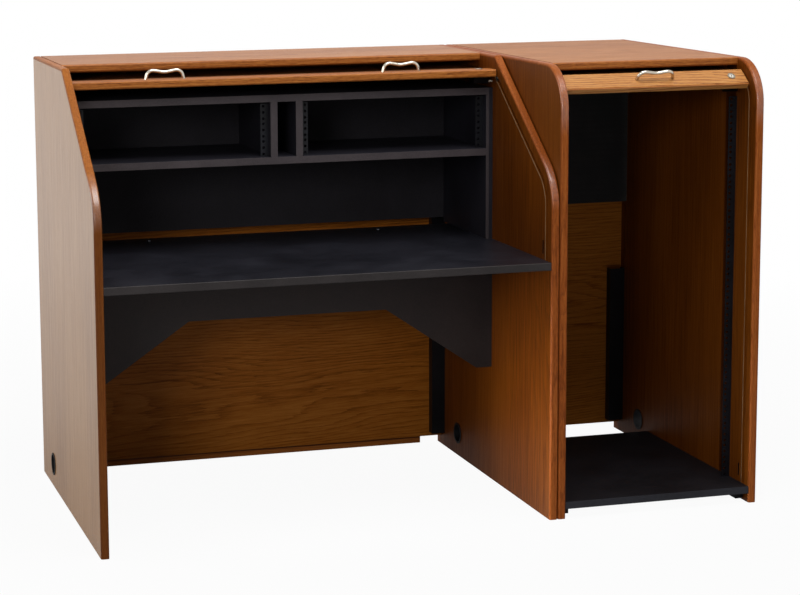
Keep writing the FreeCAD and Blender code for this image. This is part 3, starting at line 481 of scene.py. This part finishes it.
# Painted shadow in a strip behind the rack rail; the outer face is lifted out of the shaded tones.
dress(oak("tower_right_oak", "Z", (3.7, 0.36, 0.98), SHADED_OAK, STRAIGHT, 0.006, 0.1, contrast=0.6,
          shadow_strip=(-0.309, -0.251), outer=0.838), "tower_right_panel")
dress(oak("desk_top_oak", "X", (0.4, -0.25, -1.06), WARM, ARCHED, 0.007, 0.36), "desk_top_panel")
dress(oak("tower_top_oak", "X", (1.9, -0.10, -1.05), WARM, ARCHED, 0.007, 0.15), "tower_top_panel")
dress(oak("rear_oak", "X", (0.2, -0.33, -0.22), HONEY, ARCHED, 0.0075, 0.1), "desk_rear_panel")
dress(oak("tower_back_oak", "X", (2.9, -0.34, -0.42), AMBER, ARCHED, 0.0075, 0.1),
      "tower_back_panel")
# Painted shadow: the top of the toe rail's face is darkened under the rear panel's foot.
dress(oak("toe_rail_oak", "X", (4.1, -0.80, 0.22), BAND, STRAIGHT, 0.005, 0.15,
          shade=(0.016, 0.019, 0.9)), "desk_toe_rail")
print(len(dressed), "boards dressed")

# %% Oak on the bands, rails and slats
BANDS = ["desk_left_edge_band", "desk_right_edge_band", "tower_left_edge_band",
         "tower_right_edge_band"]
for index, name in enumerate(BANDS):
    heart = (0.7 * index, 0.68 + 0.01 * index, 0.25)
    # The left band gets painted shade: darker below its bend, on the upright part.
    tones, shade = (BAND, (0.90, 0.80, 0.72)) if index == 0 else (SHADED_BAND, None)
    bend = (0.77, 0.90) if name.startswith("desk") else (0.95, 1.10)
    dress(oak(f"{name}_oak", "Z", heart, tones, STRAIGHT, 0.004, 0.1, contrast=0.7, shine=bend,
              shade=shade, fleck=0.16), name)
for index, name in enumerate(("desk_top_edge_band", "tower_top_edge_band")):
    heart = (0.9 * index, -0.35, -1.40)
    dress(oak(f"{name}_oak", "X", heart, BAND, STRAIGHT, 0.004, 0.25, fleck=0.26), name)
dress(oak("desk_rail_oak", "X", (0.5, 0.23, -1.29), BAND, STRAIGHT, 0.004, 0.2, fleck=0.26),
      "desk_lead_rail")
dress(oak("tower_rail_oak", "X", (2.2, 0.37, -1.10), PALE, (0.0, 0.07, 0.05), 0.0065, 0.3,
          contrast=1.7), "tower_lead_rail")
slat_oak = oak("slat_oak", "X", (1.4, 0.0, -1.0), BAND, (0.0, 0.02, 0.02), 0.006,
               shifts="slat_shift")
# The stored slats get painted shade, so the gap under the lead rail reads dark.
dress(oak("shaded_stored_slat_oak", "X", (1.4, 0.0, -1.0), SHADED_SLAT, STRAIGHT, 0.006),
      "desk_curtain_slats", "tower_curtain_slats")
print(len(dressed), "oak nodes dressed")

# %% [markdown]
# ## Black laminate and edging
# The work surface, the apron and the rack cabinet are board with a black laminate. It isn't smooth:
# a fine pebble breaks up the reflections. It could be modelled, but a Voronoi bump is enough at
# this size. The sawn edges carry a thin plastic edging that is a little greyer and shinier.


# %% Black laminate
def laminate(name, dark, light, rough, pebble=1400.0, gloss=0.16):
    """A black sheet with a pebbled face and slight wear."""
    material, tree, shader = new_finish(name)
    place = object_place(tree)
    cells = add_node(tree, "ShaderNodeTexVoronoi", {"Vector": place, "Scale": pebble})
    clouds = noise(tree, place, 7.0, 5.0, 0.6)
    specks = noise(tree, place, 340.0, 2.0, 0.6)
    factor = math_node(tree, "ADD", math_node(tree, "MULTIPLY", clouds, 0.6),
                       math_node(tree, "MULTIPLY", specks, 0.4))
    colour = mix_colours(tree, to_range(tree, factor, 0.36, 0.64), (*dark, 1), (*light, 1))
    tree.links.new(colour, shader.inputs["Base Color"])
    worn = to_range(tree, clouds, 0.3, 0.7, rough - 0.06, rough + 0.08)
    tree.links.new(worn, shader.inputs["Roughness"])
    bump(tree, shader, cells.outputs["Distance"], 0.00012, 0.5)
    shader.inputs["Specular IOR Level"].default_value = gloss
    return material


RACK_BOARDS = ["rack_top_board", "rack_shelf", "rack_left_side", "rack_right_side",
               "rack_left_divider", "rack_right_divider"]
dress(laminate("apron_laminate", tone(39, 34, 34), tone(51, 45, 44), 0.52),
      "knee_apron", "work_cleats")
dress(laminate("rack_laminate", tone(30, 29, 34), tone(40, 39, 45), 0.52), *RACK_BOARDS)
dress(laminate("work_laminate", tone(24, 24, 28), tone(33, 33, 39), 0.34, gloss=0.35),
      "work_surface")
dress(laminate("base_laminate", tone(15, 14, 16), tone(24, 22, 25), 0.56),
      "tower_base_shelf", "tower_base_cleats")
dress(laminate("hardboard_black", tone(33, 31, 34), tone(47, 45, 49), 0.66, 900.0), "rack_back")
dress(laminate("work_edging", tone(42, 39, 39), tone(56, 52, 52), 0.40, 2000.0),
      "work_surface_edge")
base_edging = laminate("base_edging", tone(38, 38, 42), tone(48, 48, 53), 0.40, 2000.0)
rack_edging = laminate("rack_edging", tone(60, 55, 57), tone(74, 68, 70), 0.40, 2000.0)
print(len(dressed), "nodes dressed")

# %% [markdown]
# The boards of the rack cabinet and the tower's base shelf carry edging on their front edges. A
# strip of half a millimetre could be a texture, but as a real block with eased corners it also
# catches the light.

# %% Edging on the front edges
EDGING_THICK = 0.5 * MM
EDGING_EASE = 0.3 * MM
SIDE_TRIM = 10 * MM


def edging_strip(board, finish):
    """A thin strip over the front edge of a board, cut back at the outer sides of the rack."""
    low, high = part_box(board)
    low.x += SIDE_TRIM if board == "rack_left_side" else 0
    high.x -= SIDE_TRIM if board == "rack_right_side" else 0
    centre = Vector(((low.x + high.x) / 2, low.y - EDGING_THICK / 2, (low.z + high.z) / 2))
    size = Matrix.Diagonal((high.x - low.x, EDGING_THICK, high.z - low.z, 1))
    shape = bmesh.new()
    bmesh.ops.create_cube(shape, size=1, matrix=Matrix.Translation(centre) @ size)
    front = [edge for edge in shape.edges if all(end.co.y < centre.y for end in edge.verts)]
    bmesh.ops.bevel(shape, geom=front, offset=EDGING_EASE, segments=2, profile=0.5,
                    affect="EDGES", material=-1)
    return new_piece(f"{board}_edging", shape, finish, "cabinets")


strips = [edging_strip(board, rack_edging) for board in RACK_BOARDS]
strips.append(edging_strip("tower_base_shelf", base_edging))
print(len(strips), "edging strips")

# %% [markdown]
# ## Metal and plastic
# The rack rails are folded steel with a black powder coat, the pulls are brushed nickel wire, the
# locks plain nickel, and the small fittings zinc, blacked steel, nylon and moulded plastic. One
# flat colour would look like paint. Brushed metal needs scratches that follow the wire, which here
# runs mostly along the rail, and mouldings need a fine orange peel.


# %% Metal and plastic finishes
def metal(name, base, rough, stretch=(1.0, 1.0, 1.0)):
    """A metal with fine scratches stretched along one direction and cloudy roughness."""
    material, tree, shader = new_finish(name)
    scratches = noise(tree, object_place(tree, scale=stretch), 220.0, 4.0, 0.7)
    clouds = noise(tree, object_place(tree), 30.0, 3.0)
    darker = tuple(0.72 * channel for channel in base)
    colour = mix_colours(tree, to_range(tree, scratches, 0.35, 0.65), (*darker, 1), (*base, 1))
    tree.links.new(colour, shader.inputs["Base Color"])
    shader.inputs["Metallic"].default_value = 1.0
    brushed = to_range(tree, scratches, 0.3, 0.7, rough - 0.05, rough + 0.08)
    cloudy = to_range(tree, clouds, 0.3, 0.7, -0.03, 0.05)
    tree.links.new(math_node(tree, "ADD", brushed, cloudy), shader.inputs["Roughness"])
    bump(tree, shader, scratches, 0.00004, 0.4)
    return material


def moulded(name, dark, light, rough, grain_size=700.0):
    """A moulded or coated surface with a fine orange peel."""
    material, tree, shader = new_finish(name)
    place = object_place(tree)
    peel = noise(tree, place, grain_size, 2.0, 0.5)
    clouds = noise(tree, place, 14.0, 3.0)
    colour = mix_colours(tree, to_range(tree, clouds, 0.35, 0.65), (*dark, 1), (*light, 1))
    tree.links.new(colour, shader.inputs["Base Color"])
    uneven = to_range(tree, peel, 0.3, 0.7, rough - 0.04, rough + 0.06)
    tree.links.new(uneven, shader.inputs["Roughness"])
    bump(tree, shader, peel, 0.0001, 0.4)
    shader.inputs["Specular IOR Level"].default_value = 0.2
    return material


BLACK = (tone(13, 13, 15), tone(22, 22, 25))
black_moulding = moulded("black_moulding", *BLACK, 0.34)
dress(black_moulding, "desk_cable_channel", "tower_cable_channel")
dress(moulded("liner_moulding", *BLACK, 0.55), "cable_hole_liners")
dress(moulded("rail_powder_coat", tone(15, 15, 18), tone(24, 25, 30), 0.42, 1600.0),
      "desk_rack_rail_1", "desk_rack_rail_2", "desk_rack_rail_3", "desk_rack_rail_4",
      "tower_rack_rail_left", "tower_rack_rail_right")
dress(moulded("dark_nylon", tone(34, 33, 32), tone(48, 46, 44), 0.44),
      "desk_lead_buttons", "tower_lead_buttons", "desk_curtain_pins")
dress(metal("pull_nickel", tone(208, 198, 182), 0.15, (0.2, 1.0, 1.0)),
      "desk_left_pull", "desk_right_pull", "tower_pull")
dress(metal("plug_nickel", tone(216, 210, 198), 0.30),
      "desk_lock_plug", "tower_lock_plug", "desk_lock_bolt", "tower_lock_bolt")
dress(metal("zinc_plate", tone(186, 188, 190), 0.38), "joining_bolts", "desk_stop_clips")
dress(metal("blacked_steel", tone(96, 97, 102), 0.45), "surface_screws")
print(len(dressed), "nodes dressed")

# %% [markdown]
# A lock is one CAD piece with two looks: a bright flange on top of the rail, and a dark case under
# it. The faces could be picked one by one, but the height above the rail's middle tells them apart
# just as well, once the coordinates are turned to stand square on the rail.

# %% Lock finishes
FLANGE_RISE = 0.0092
FLANGE_EDGE = 0.0002


def lock_finish(name, middle, tilt):
    """Nickel on the flange over the rail; the case under the rail is dark."""
    material = metal(name, tone(150, 140, 124), 0.30, (1.0, 0.3, 1.0))
    tree = material.node_tree
    shader = tree.nodes["Principled BSDF"]
    turned = object_place(tree, rotation=(-tilt, 0, 0))
    height = add_node(tree, "ShaderNodeSeparateXYZ", {0: turned}).outputs["Z"]
    face = middle[1] * math.cos(tilt) - middle[0] * math.sin(tilt) + FLANGE_RISE
    outside = to_range(tree, height, face - FLANGE_EDGE, face + FLANGE_EDGE)
    bright = shader.inputs["Base Color"].links[0].from_socket
    colour = mix_colours(tree, outside, (*tone(26, 25, 26), 1), bright)
    tree.links.new(colour, shader.inputs["Base Color"])
    return material


dress(lock_finish("desk_lock_nickel", (-0.014, 1.074), 0.0), "desk_lock_case")
dress(lock_finish("tower_lock_nickel", (-0.35198, 1.0671), math.radians(35)), "tower_lock_case")
print(len(dressed), "nodes dressed")

# %% [markdown]
# ## Canvas behind the slats
# A tambour is a row of slats glued to canvas. Rolled back, the curtain hangs down the rear of the
# cabinet with its canvas towards the room, and that dark cloth fills the upper back of the tower.
# Its weave could be an image, but two Wave textures that cross on the UV map follow the cloth
# round the bend and stay sharp close up.

# %% Canvas finish
THREAD_SCALE = 180.0
WAVES_PER_UNIT = 20 / (2 * math.pi)

canvas, tree, shader = new_finish("curtain_canvas")
cloth = add_node(tree, "ShaderNodeUVMap").outputs["UV"]
thread = {"Vector": cloth, "Scale": THREAD_SCALE, "Distortion": 1.2, "Detail": 1.0,
          "Detail Scale": 2.0}
warp = add_node(tree, "ShaderNodeTexWave", thread, bands_direction="X").outputs["Fac"]
weft = add_node(tree, "ShaderNodeTexWave", thread, bands_direction="Y").outputs["Fac"]
weave = math_node(tree, "MULTIPLY", warp, weft)
stain = math_node(tree, "MULTIPLY", noise(tree, cloth, 9.0, 4.0, 0.6), 0.7)
threads = math_node(tree, "ADD", math_node(tree, "MULTIPLY", weave, 0.5), stain)
colour = mix_colours(tree, to_range(tree, threads, 0.25, 0.85), (*tone(22, 22, 24), 1),
                     (*tone(44, 43, 44), 1))
tree.links.new(colour, shader.inputs["Base Color"])
tree.links.new(to_range(tree, weave, 0.0, 1.0, 0.92, 0.78), shader.inputs["Roughness"])
shader.inputs["Sheen Weight"].default_value = 0.15
bump(tree, shader, weave, 0.0003, 0.7)
print("threads every", round(1 / (THREAD_SCALE * WAVES_PER_UNIT) / MM, 2), "mm")

# %% [markdown]
# ## Following a track
# Canvas and groove edges both run along the curtain's track: straight, round a bend, straight
# again. A curve with a bevel could do that, but a row of edges that is extruded along the straight
# runs and spun round the bends keeps its rows square to the track.

# %% Track helpers
SHIFT = Vector((-0.8385, -0.420, 0.0))
SLAT_PITCH = 16 * MM


def spot(x, y, z):
    """A place given in millimetres from the desk's left face, the front plane and the floor."""
    return Vector((x, y, z)) * MM + SHIFT


def edges_in(geometry):
    """Only the edges among the results of an operator."""
    return [item for item in geometry if isinstance(item, bmesh.types.BMEdge)]


def extend(shape, row, way):
    """Extrude a row of edges by a vector; gives the new row."""
    made = bmesh.ops.extrude_edge_only(shape, edges=row)["geom"]
    fresh = [item for item in made if isinstance(item, bmesh.types.BMVert)]
    bmesh.ops.translate(shape, verts=fresh, vec=way)
    return [edge for edge in edges_in(made) if all(end in fresh for end in edge.verts)]


def sweep(shape, row, centre, angle, steps):
    """Spin a row of edges round a bend; gives the new row."""
    spun = bmesh.ops.spin(shape, geom=row, cent=centre, axis=(-1, 0, 0), angle=angle, steps=steps)
    return edges_in(spun["geom_last"])


print("the layout's corner lies at", [round(value, 4) for value in spot(0, 0, 0)])

# %% [markdown]
# ## Canvas strips
# The canvas could be a plain strip, but glued cloth dips between the slats. So the strip gets four
# rows to each slat and is waved by the pitch of the slats, and a Solidify modifier gives it its
# thickness.

# %% Canvas strips
CANVAS_STEPS = 4
CANVAS_CUTS = 11
CANVAS_DIP = 0.7 * MM
CANVAS_THICK = 0.8 * MM
SAME_PLACE = 1e-6


def sheet_along(name, sides, start, rear, level, bend, length):
    """A strip of canvas back along a level run, round a bend and down, dipping between slats."""
    shape = bmesh.new()
    step = SLAT_PITCH / CANVAS_STEPS
    run = (rear - start - bend) * MM
    arc = math.pi / 2 * bend * MM
    ends = [shape.verts.new(spot(x, start, level)) for x in sides]
    bmesh.ops.subdivide_edges(shape, edges=[shape.edges.new(ends)], cuts=CANVAS_CUTS)

    def pull(row, direction, distance):
        count = max(1, round(distance / step))
        for _ in range(count):
            row = extend(shape, row, direction * (distance / count))
        return row

    row = pull(list(shape.edges), Vector((0, 1, 0)), run)
    centre = spot(0, rear - bend, level - bend)
    row = sweep(shape, row, centre, math.pi / 2, round(arc / step))
    pull(row, Vector((0, 0, -1)), length - run - arc)
    bmesh.ops.remove_doubles(shape, verts=shape.verts, dist=0.2 * MM)

    layer = shape.loops.layers.uv.new("cloth")
    travelled = {}
    for point in shape.verts:
        if point.co.y <= centre.y + SAME_PLACE and point.co.z > centre.z:
            travelled[point] = point.co.y - spot(0, start, 0).y
        elif point.co.z >= centre.z - SAME_PLACE:
            angle = math.atan2(point.co.y - centre.y, point.co.z - centre.z)
            travelled[point] = run + angle * bend * MM
        else:
            travelled[point] = run + arc + centre.z - point.co.z
    bmesh.ops.recalc_face_normals(shape, faces=shape.faces)
    shape.normal_update()
    for face in shape.faces:
        for loop in face.loops:
            loop[layer].uv = (loop.vert.co.x, travelled[loop.vert])
    inward = 1.0 if shape.faces[0].normal.z < 0 else -1.0
    for point in shape.verts:
        dip = 0.5 - 0.5 * math.cos(2 * math.pi * travelled[point] / SLAT_PITCH)
        point.co -= point.normal * inward * (CANVAS_DIP * (1 - dip))

    item = new_piece(name, shape, canvas, "cabinets")
    item.data.shade_smooth()
    thick = item.modifiers.new("cloth_thickness", "SOLIDIFY")
    thick.thickness = CANVAS_THICK
    thick.offset = 0
    print(name, len(item.data.polygons), "faces")
    return item


# %% Both canvases
REAR_TRACK, TRACK_BEND = 772, 60
CANVAS_DROP = 4.9
SHEETS = [
    ("desk_canvas", (22, 1118), 434.4, 1074, 41 * SLAT_PITCH, "desk"),
    ("tower_canvas", (1164, 1655), 104, 1082, 66 * SLAT_PITCH, "tower"),
]
for name, sides, start, level, length, prefix in SHEETS:
    shorter = math.pi / 2 * CANVAS_DROP * MM
    strip = sheet_along(name, sides, start, REAR_TRACK - CANVAS_DROP, level - CANVAS_DROP,
                        TRACK_BEND - CANVAS_DROP, length - shorter)
    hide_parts(f"{prefix}_curtain_canvas")

# %% [markdown]
# ## Pale edges of the track grooves
# The grooves that guide the slats are cut through the veneer, and a fine pale line runs along the
# rear edge of each groove: the sawn edge, partly painted highlight where that edge catches the
# light. It could be painted on the panel, but a narrow strip that starts as one short edge and
# follows the track stays sharp at every distance.

# %% Groove edges
LINE_OFFSET, LINE_WIDTH = -6.6, 2.4
LINE_THICK = 0.3 * MM
BEND_STEPS = 14
DESK_LEFT, DESK_RIGHT, TOWER_LEFT, TOWER_RIGHT = 20, 1120, 1162, 1657
DESK_TRACK = ([(36, 643), (36, 821.233), (397.875, 1074), (440, 1074)], [94, 60])
TOWER_TRACK = ([(36, 43), (36, 1082), (120, 1082)], [72])
# Pale tones for the groove edges: sawn wood, partly painted highlight.
SAWN_LIT = (tone(118, 92, 66), tone(150, 122, 92), tone(172, 146, 116))
sawn_lit_oak = oak("sawn_edge_highlight_oak", "Z", (0.0, 0.35, 0.2), SAWN_LIT, STRAIGHT, 0.004)


def outer_line(corners, offset):
    """Corners of the line that runs beside a track at a fixed distance."""
    legs = [(Vector(end) - Vector(start)).normalized() for start, end in zip(corners, corners[1:])]
    sides = [Vector((-leg.y, leg.x)) for leg in legs]
    sides = [sides[0], *sides, sides[-1]]
    return [Vector(corner) + (before + after) * offset / (1 + before.dot(after))
            for corner, before, after in zip(corners, sides, sides[1:])]


def groove_line(name, x, inward, track):
    """A pale strip on the inner face of an end panel, behind its groove; its paleness is partly painted
    highlight.
    """
    corners = outer_line(track[0], LINE_OFFSET)
    radii = [radius + LINE_OFFSET for radius in track[1]]
    legs = [end - start for start, end in zip(corners, corners[1:])]
    turns = [0.0] + [first.angle(second) for first, second in zip(legs, legs[1:])] + [0.0]
    reaches = [radius * math.tan(turn / 2) for radius, turn in zip(radii, turns[1:])]
    reaches = [0.0] + reaches + [0.0]
    shape = bmesh.new()
    half = LINE_WIDTH / 2
    ends = [shape.verts.new(spot(x, corners[0].x + side, corners[0].y)) for side in (-half, half)]
    row = [shape.edges.new(ends)]
    for index, leg in enumerate(legs):
        way = leg.normalized()
        run = leg.length - reaches[index] - reaches[index + 1]
        row = extend(shape, row, Vector((0, way.x, way.y)) * run * MM)
        if turns[index + 1]:
            touch = corners[index + 1] - way * reaches[index + 1]
            centre = touch + Vector((way.y, -way.x)) * radii[index]
            row = sweep(shape, row, spot(x, centre.x, centre.y), turns[index + 1], BEND_STEPS)
    bmesh.ops.remove_doubles(shape, verts=shape.verts, dist=0.05 * MM)
    bmesh.ops.solidify(shape, geom=shape.faces[:], thickness=LINE_THICK)
    bmesh.ops.recalc_face_normals(shape, faces=shape.faces)
    middle = sum(point.co.x for point in shape.verts) / len(shape.verts)
    wanted = spot(x, 0, 0).x + inward * LINE_THICK / 2
    bmesh.ops.translate(shape, verts=shape.verts, vec=Vector((wanted - middle, 0, 0)))
    return new_piece(name, shape, sawn_lit_oak, "cabinets")


LINES = [
    groove_line("desk_left_groove_line", DESK_LEFT, 1, DESK_TRACK),
    groove_line("desk_right_groove_line", DESK_RIGHT, -1, DESK_TRACK),
    groove_line("tower_left_groove_line", TOWER_LEFT, 1, TOWER_TRACK),
    groove_line("tower_right_groove_line", TOWER_RIGHT, -1, TOWER_TRACK),
]
print([(line.name, len(line.data.polygons)) for line in LINES])

# %% [markdown]
# ## Strike linings
# When a curtain is down, the bolt of its lock finds a slot in the right-hand panel. A black cup
# lines that slot, open towards the bolt. The slot's walls could be painted black, but a cube with
# its open side removed, given a thin wall, is a real cup. It starts at the panel's face and goes
# inwards, so nothing stands proud of the panel.

# %% Strike linings
CUP = Vector((11.8, 6.9, 33.9)) * MM
CUP_WALL = 0.4 * MM
STRIKE_DEPTH, DESK_STRIKE, TOWER_STRIKE = 58, 673, 72


def strike_lining(name, face, level):
    """A black cup in the slot of an end panel, flush with its inner face."""
    centre = spot(face, STRIKE_DEPTH, level) + Vector((CUP.x / 2, 0, 0))
    block = Matrix.Translation(centre) @ Matrix.Diagonal((*CUP, 1))
    shape = bmesh.new()
    bmesh.ops.create_cube(shape, size=1, matrix=block)
    mouth = [side for side in shape.faces if side.normal.x < -0.9]
    bmesh.ops.delete(shape, geom=mouth, context="FACES")
    bmesh.ops.solidify(shape, geom=shape.faces[:], thickness=CUP_WALL)
    bmesh.ops.recalc_face_normals(shape, faces=shape.faces[:])
    return new_piece(name, shape, black_moulding, "cabinets")


LININGS = [
    strike_lining("desk_strike_lining", DESK_RIGHT, DESK_STRIKE),
    strike_lining("tower_strike_lining", TOWER_RIGHT, TOWER_STRIKE),
]
for lining in LININGS:
    size = [round(side / MM, 2) for side in lining.dimensions]
    print(lining.name, len(lining.data.polygons), "faces,", size, "mm")

# %% [markdown]
# ## Slats in the openings
# Pulled down, the curtain covers the opening. A rigid body can't slide round a bend, so the part of
# the curtain that comes out is made here. An Array along a curve could space the slats, but each
# one also needs its own piece of wood, so every slat is a bevelled block, set at its place in the
# closed curtain and marked with a number of its own that the oak reads.

# %% Slat blocks
SLAT_WIDTH = 15.0 * MM
SLAT_THICK = 6 * MM
SLAT_BEVEL = 2.0 * MM
GOLDEN = 0.618


def add_slat(shape, sides, middle, along, shift):
    """Add one slat, with its upper long edges bevelled; along points down the curtain."""
    older = set(shape.verts)
    outward = Vector((0, along.z, -along.y))
    axes = Matrix((Vector((1, 0, 0)), along, outward)).transposed().to_4x4()
    size = Matrix.Diagonal((sides[1] - sides[0], SLAT_WIDTH, SLAT_THICK, 1))
    centre = Vector((sum(sides) / 2, middle.y, middle.z))
    block = Matrix.Translation(centre) @ axes @ size
    made = bmesh.ops.create_cube(shape, size=1, matrix=block)
    edges = []
    for edge in {edge for point in made["verts"] for edge in point.link_edges}:
        span = edge.verts[0].co - edge.verts[1].co
        lengthwise = abs(span.x) > 0.5 * (sides[1] - sides[0])
        outer = all((end.co - centre).dot(outward) > 0 for end in edge.verts)
        if lengthwise and outer:
            edges.append(edge)
    bmesh.ops.bevel(shape, geom=edges, offset=SLAT_BEVEL, segments=2, profile=0.5,
                    affect="EDGES", material=-1)
    layer = shape.verts.layers.float["slat_shift"]
    for point in shape.verts:
        if point not in older:
            point[layer] = shift


def slat_row(name, sides, places):
    """A row of slats at (middle, direction) places, as one object."""
    shape = bmesh.new()
    shape.verts.layers.float.new("slat_shift")
    for index, (middle, along) in enumerate(places):
        add_slat(shape, sides, middle, along.normalized(), (index * GOLDEN + 0.1) % 1.0)
    item = new_piece(name, shape, slat_oak)
    print(name, len(places), "slats,", len(item.data.polygons), "faces")
    return item


def arc_places(centre, radius, first, last, count):
    """Places round a bend; angles are measured from straight up towards the front."""
    places = []
    for index in range(count):
        angle = first + (last - first) * (index + 0.5) / count
        middle = centre + Vector((0, -math.sin(angle), math.cos(angle))) * radius
        places.append((middle, Vector((0, -math.cos(angle), -math.sin(angle)))))
    return places


def line_places(start, along, count, pitch=SLAT_PITCH):
    """Places down a straight run."""
    return [(start + along * pitch * (index + 0.5), along) for index in range(count)]


print("slats", round(SLAT_WIDTH / MM, 1), "mm wide")

# %% [markdown]
# ## Where the slats wait
# While the curtain is open, its slats have to be out of sight. Solving that backwards gives the
# place at rest from which every point ends exactly where it belongs: pressed together inside the
# lead rail, or, for the slats that bend, laid flat among the stored ones behind it.


# %% Smooth step and its inverse
def smooth_step(share):
    share = min(1.0, max(0.0, share))
    return share * share * (3 - 2 * share)


def solve(rising, target):
    """Where a rising function reaches a target between 0 and 1."""
    low, high = 0.0, 1.0
    for _ in range(60):
        middle = (low + high) / 2
        if rising(middle) < target:
            low = middle
        else:
            high = middle
    return (low + high) / 2


def press(item, travel, start, end):
    """Move every point back to where it waits at rest, so that the blend returns it exactly."""
    room = (end - start).length
    direction = (end - start) / room
    reach = travel.dot(direction)
    sign = math.copysign(1, reach)
    for point in item.data.vertices:
        place = (point.co - start).dot(direction)
        share = solve(lambda value: sign * (room * value + reach * smooth_step(value)),
                      sign * place)
        point.co -= travel * smooth_step(share)


def press_turned(item, hinge_rest, hinge_closed, angle, start, end):
    """The same for a row that bends round a hinge, between its holder and the turned body."""
    room = (end - start).length
    direction = (end - start) / room

    def waiting(target, weight):
        level, raised = 1 - weight + weight * math.cos(angle), weight * math.sin(angle)
        size = level ** 2 + raised ** 2
        back = (level * target.y + raised * target.z) / size
        above = (level * target.z - raised * target.y) / size
        return hinge_rest + Vector((target.x, back, above))

    for point in item.data.vertices:
        target = point.co - hinge_closed

        def excess(weight):
            return weight - smooth_step((waiting(target, weight) - start).dot(direction) / room)

        point.co = waiting(target, solve(excess, 0.0))


print("half way the step is", smooth_step(0.5))

# %% [markdown]
# ## Desk curtain
# The desk's curtain comes from under the top, runs down the slant, and stands upright on the work
# surface. One blend for all of it would smear the bend. So the two slats at the top bend stay with
# the cabinets, the slant is drawn out by the sliding guides, and the lower end curls as the lead
# rail turns.

# %% Desk slant
DESK_SIDES = tuple(spot(x, 0, 0).x for x in (23.4, 1116.6))
SLANT = Vector((0, -0.81983, -0.57262))
DESK_TRAVEL = Vector((0, -300.051, -209.584)) * MM
TOP_BEND, TOP_ANGLES = 58.5, (-0.1, -0.19)
SLANT_SLATS, SLANT_ROOM, SLANT_RUN = 23, 6, 368
lean = math.atan2(-SLANT.z, -SLANT.y)

bend_top = arc_places(spot(0, 416.8, 1014), TOP_BEND * MM, TOP_ANGLES[0], lean + TOP_ANGLES[1], 2)
fixed = slat_row("desk_bend_slats", DESK_SIDES, bend_top)
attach(fixed, "cabinets")

slant_start = spot(0, 393.0, 1070.4)
slant_places = line_places(slant_start, SLANT, SLANT_SLATS)
straight = slat_row("desk_slant_slats", DESK_SIDES, slant_places)
slant_end = slant_start + SLANT * SLANT_ROOM * MM
press(straight, DESK_TRAVEL, slant_start, slant_end)
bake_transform(straight, "cabinets", "desk_guides", start=slant_start, end=slant_end)
print("slant of", round(math.degrees(lean), 1), "degrees")

# %% Desk lower end
RAIL_REST, RAIL_CLOSED = spot(0, 406, 1074), spot(0, 36, 673)
RAIL_TOP = 701
FRONT_BEND = 92.5
FOLD_ENDS = (666, 60)

lower_start = slant_start + SLANT * SLANT_RUN * MM
corner = spot(0, 37.5, 821.9)
reach = FRONT_BEND * math.tan((math.pi / 2 - lean) / 2) * MM
bend_start = corner - SLANT * reach
bend_centre = bend_start + Vector((0, -SLANT.z, SLANT.y)) * FRONT_BEND * MM
rest_of_slant = (lower_start - bend_start).length
places = line_places(lower_start, SLANT, max(1, round(rest_of_slant / SLAT_PITCH)))
arc_count = round(FRONT_BEND * MM * (math.pi / 2 - lean) / SLAT_PITCH)
places += arc_places(bend_centre, FRONT_BEND * MM, lean, math.pi / 2, arc_count)
foot = corner - Vector((0, 0, reach))
upright = foot.z - spot(0, 0, RAIL_TOP).z
count = round(upright / SLAT_PITCH)
places += line_places(foot, Vector((0, 0, -1)), count, upright / count)
lower = slat_row("desk_lower_slats", DESK_SIDES, places)
turn_start, turn_end = (RAIL_REST + Vector((0, distance * MM, 0)) for distance in FOLD_ENDS)
press_turned(lower, RAIL_REST, RAIL_CLOSED, math.pi / 2, turn_start, turn_end)
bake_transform(lower, "desk_buttons", "desk_lead", start=turn_start, end=turn_end)
levels = [point.co.z / MM for point in lower.data.vertices]
print("they wait between", round(min(levels), 1), "and", round(max(levels), 1), "mm")

# %% [markdown]
# ## Tower curtain
# The tower's curtain turns over the rounded corner and hangs down the front. The slats on the upper
# part of the corner stay in place, where the stored slats would come past. The rest could ride on
# the lead rail as one stiff sheet, but that would show above the top while the curtain is open, so
# they wait pressed together inside the rail and are drawn out as it goes down.

# %% Tower curtain
TOWER_SIDES = tuple(spot(x, 0, 0).x for x in (1165.4, 1653.6))
TOWER_TRAVEL = Vector((0, -32.022, -994.095)) * MM
CORNER_DEPTH, CORNER_LEVEL, CORNER_BEND = 108, 1010, 70.5
FRONT_SLATS, TOWER_RAIL_TOP = 57, 101
TOWER_WAIT, TOWER_ROOM = 1054.5, 12

tower_bend = spot(0, CORNER_DEPTH, CORNER_LEVEL)
turned = math.radians(52)
fixed = slat_row("tower_bend_slats", TOWER_SIDES,
                 arc_places(tower_bend, CORNER_BEND * MM, 0.1, turned, 4))
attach(fixed, "cabinets")

places = arc_places(tower_bend, CORNER_BEND * MM, turned, math.pi / 2, 3)
head = tower_bend - Vector((0, CORNER_BEND * MM, 0))
pitch = (CORNER_LEVEL - TOWER_RAIL_TOP) / FRONT_SLATS * MM
places += line_places(head, Vector((0, 0, -1)), FRONT_SLATS, pitch)
tower_row = slat_row("tower_front_slats", TOWER_SIDES, places)
tower_start = Vector((0, 0, spot(0, 0, TOWER_WAIT).z))
tower_end = tower_start + Vector((0, 0, TOWER_ROOM * MM))
press(tower_row, TOWER_TRAVEL, tower_start, tower_end)
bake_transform(tower_row, "cabinets", "tower_buttons", start=tower_start, end=tower_end)
print("front slats every", round(pitch / MM, 2), "mm")

# %% [markdown]
# ## Nodes without a finish
# Blender only dresses the object, so its box must stay the CAD box. The last cell lists
# the CAD nodes that got no finish.

# %% Finish
missing = sorted(set(nodes) - dressed - {"desk_curtain_canvas", "tower_curtain_canvas"})
print("nodes without a finish:", missing)
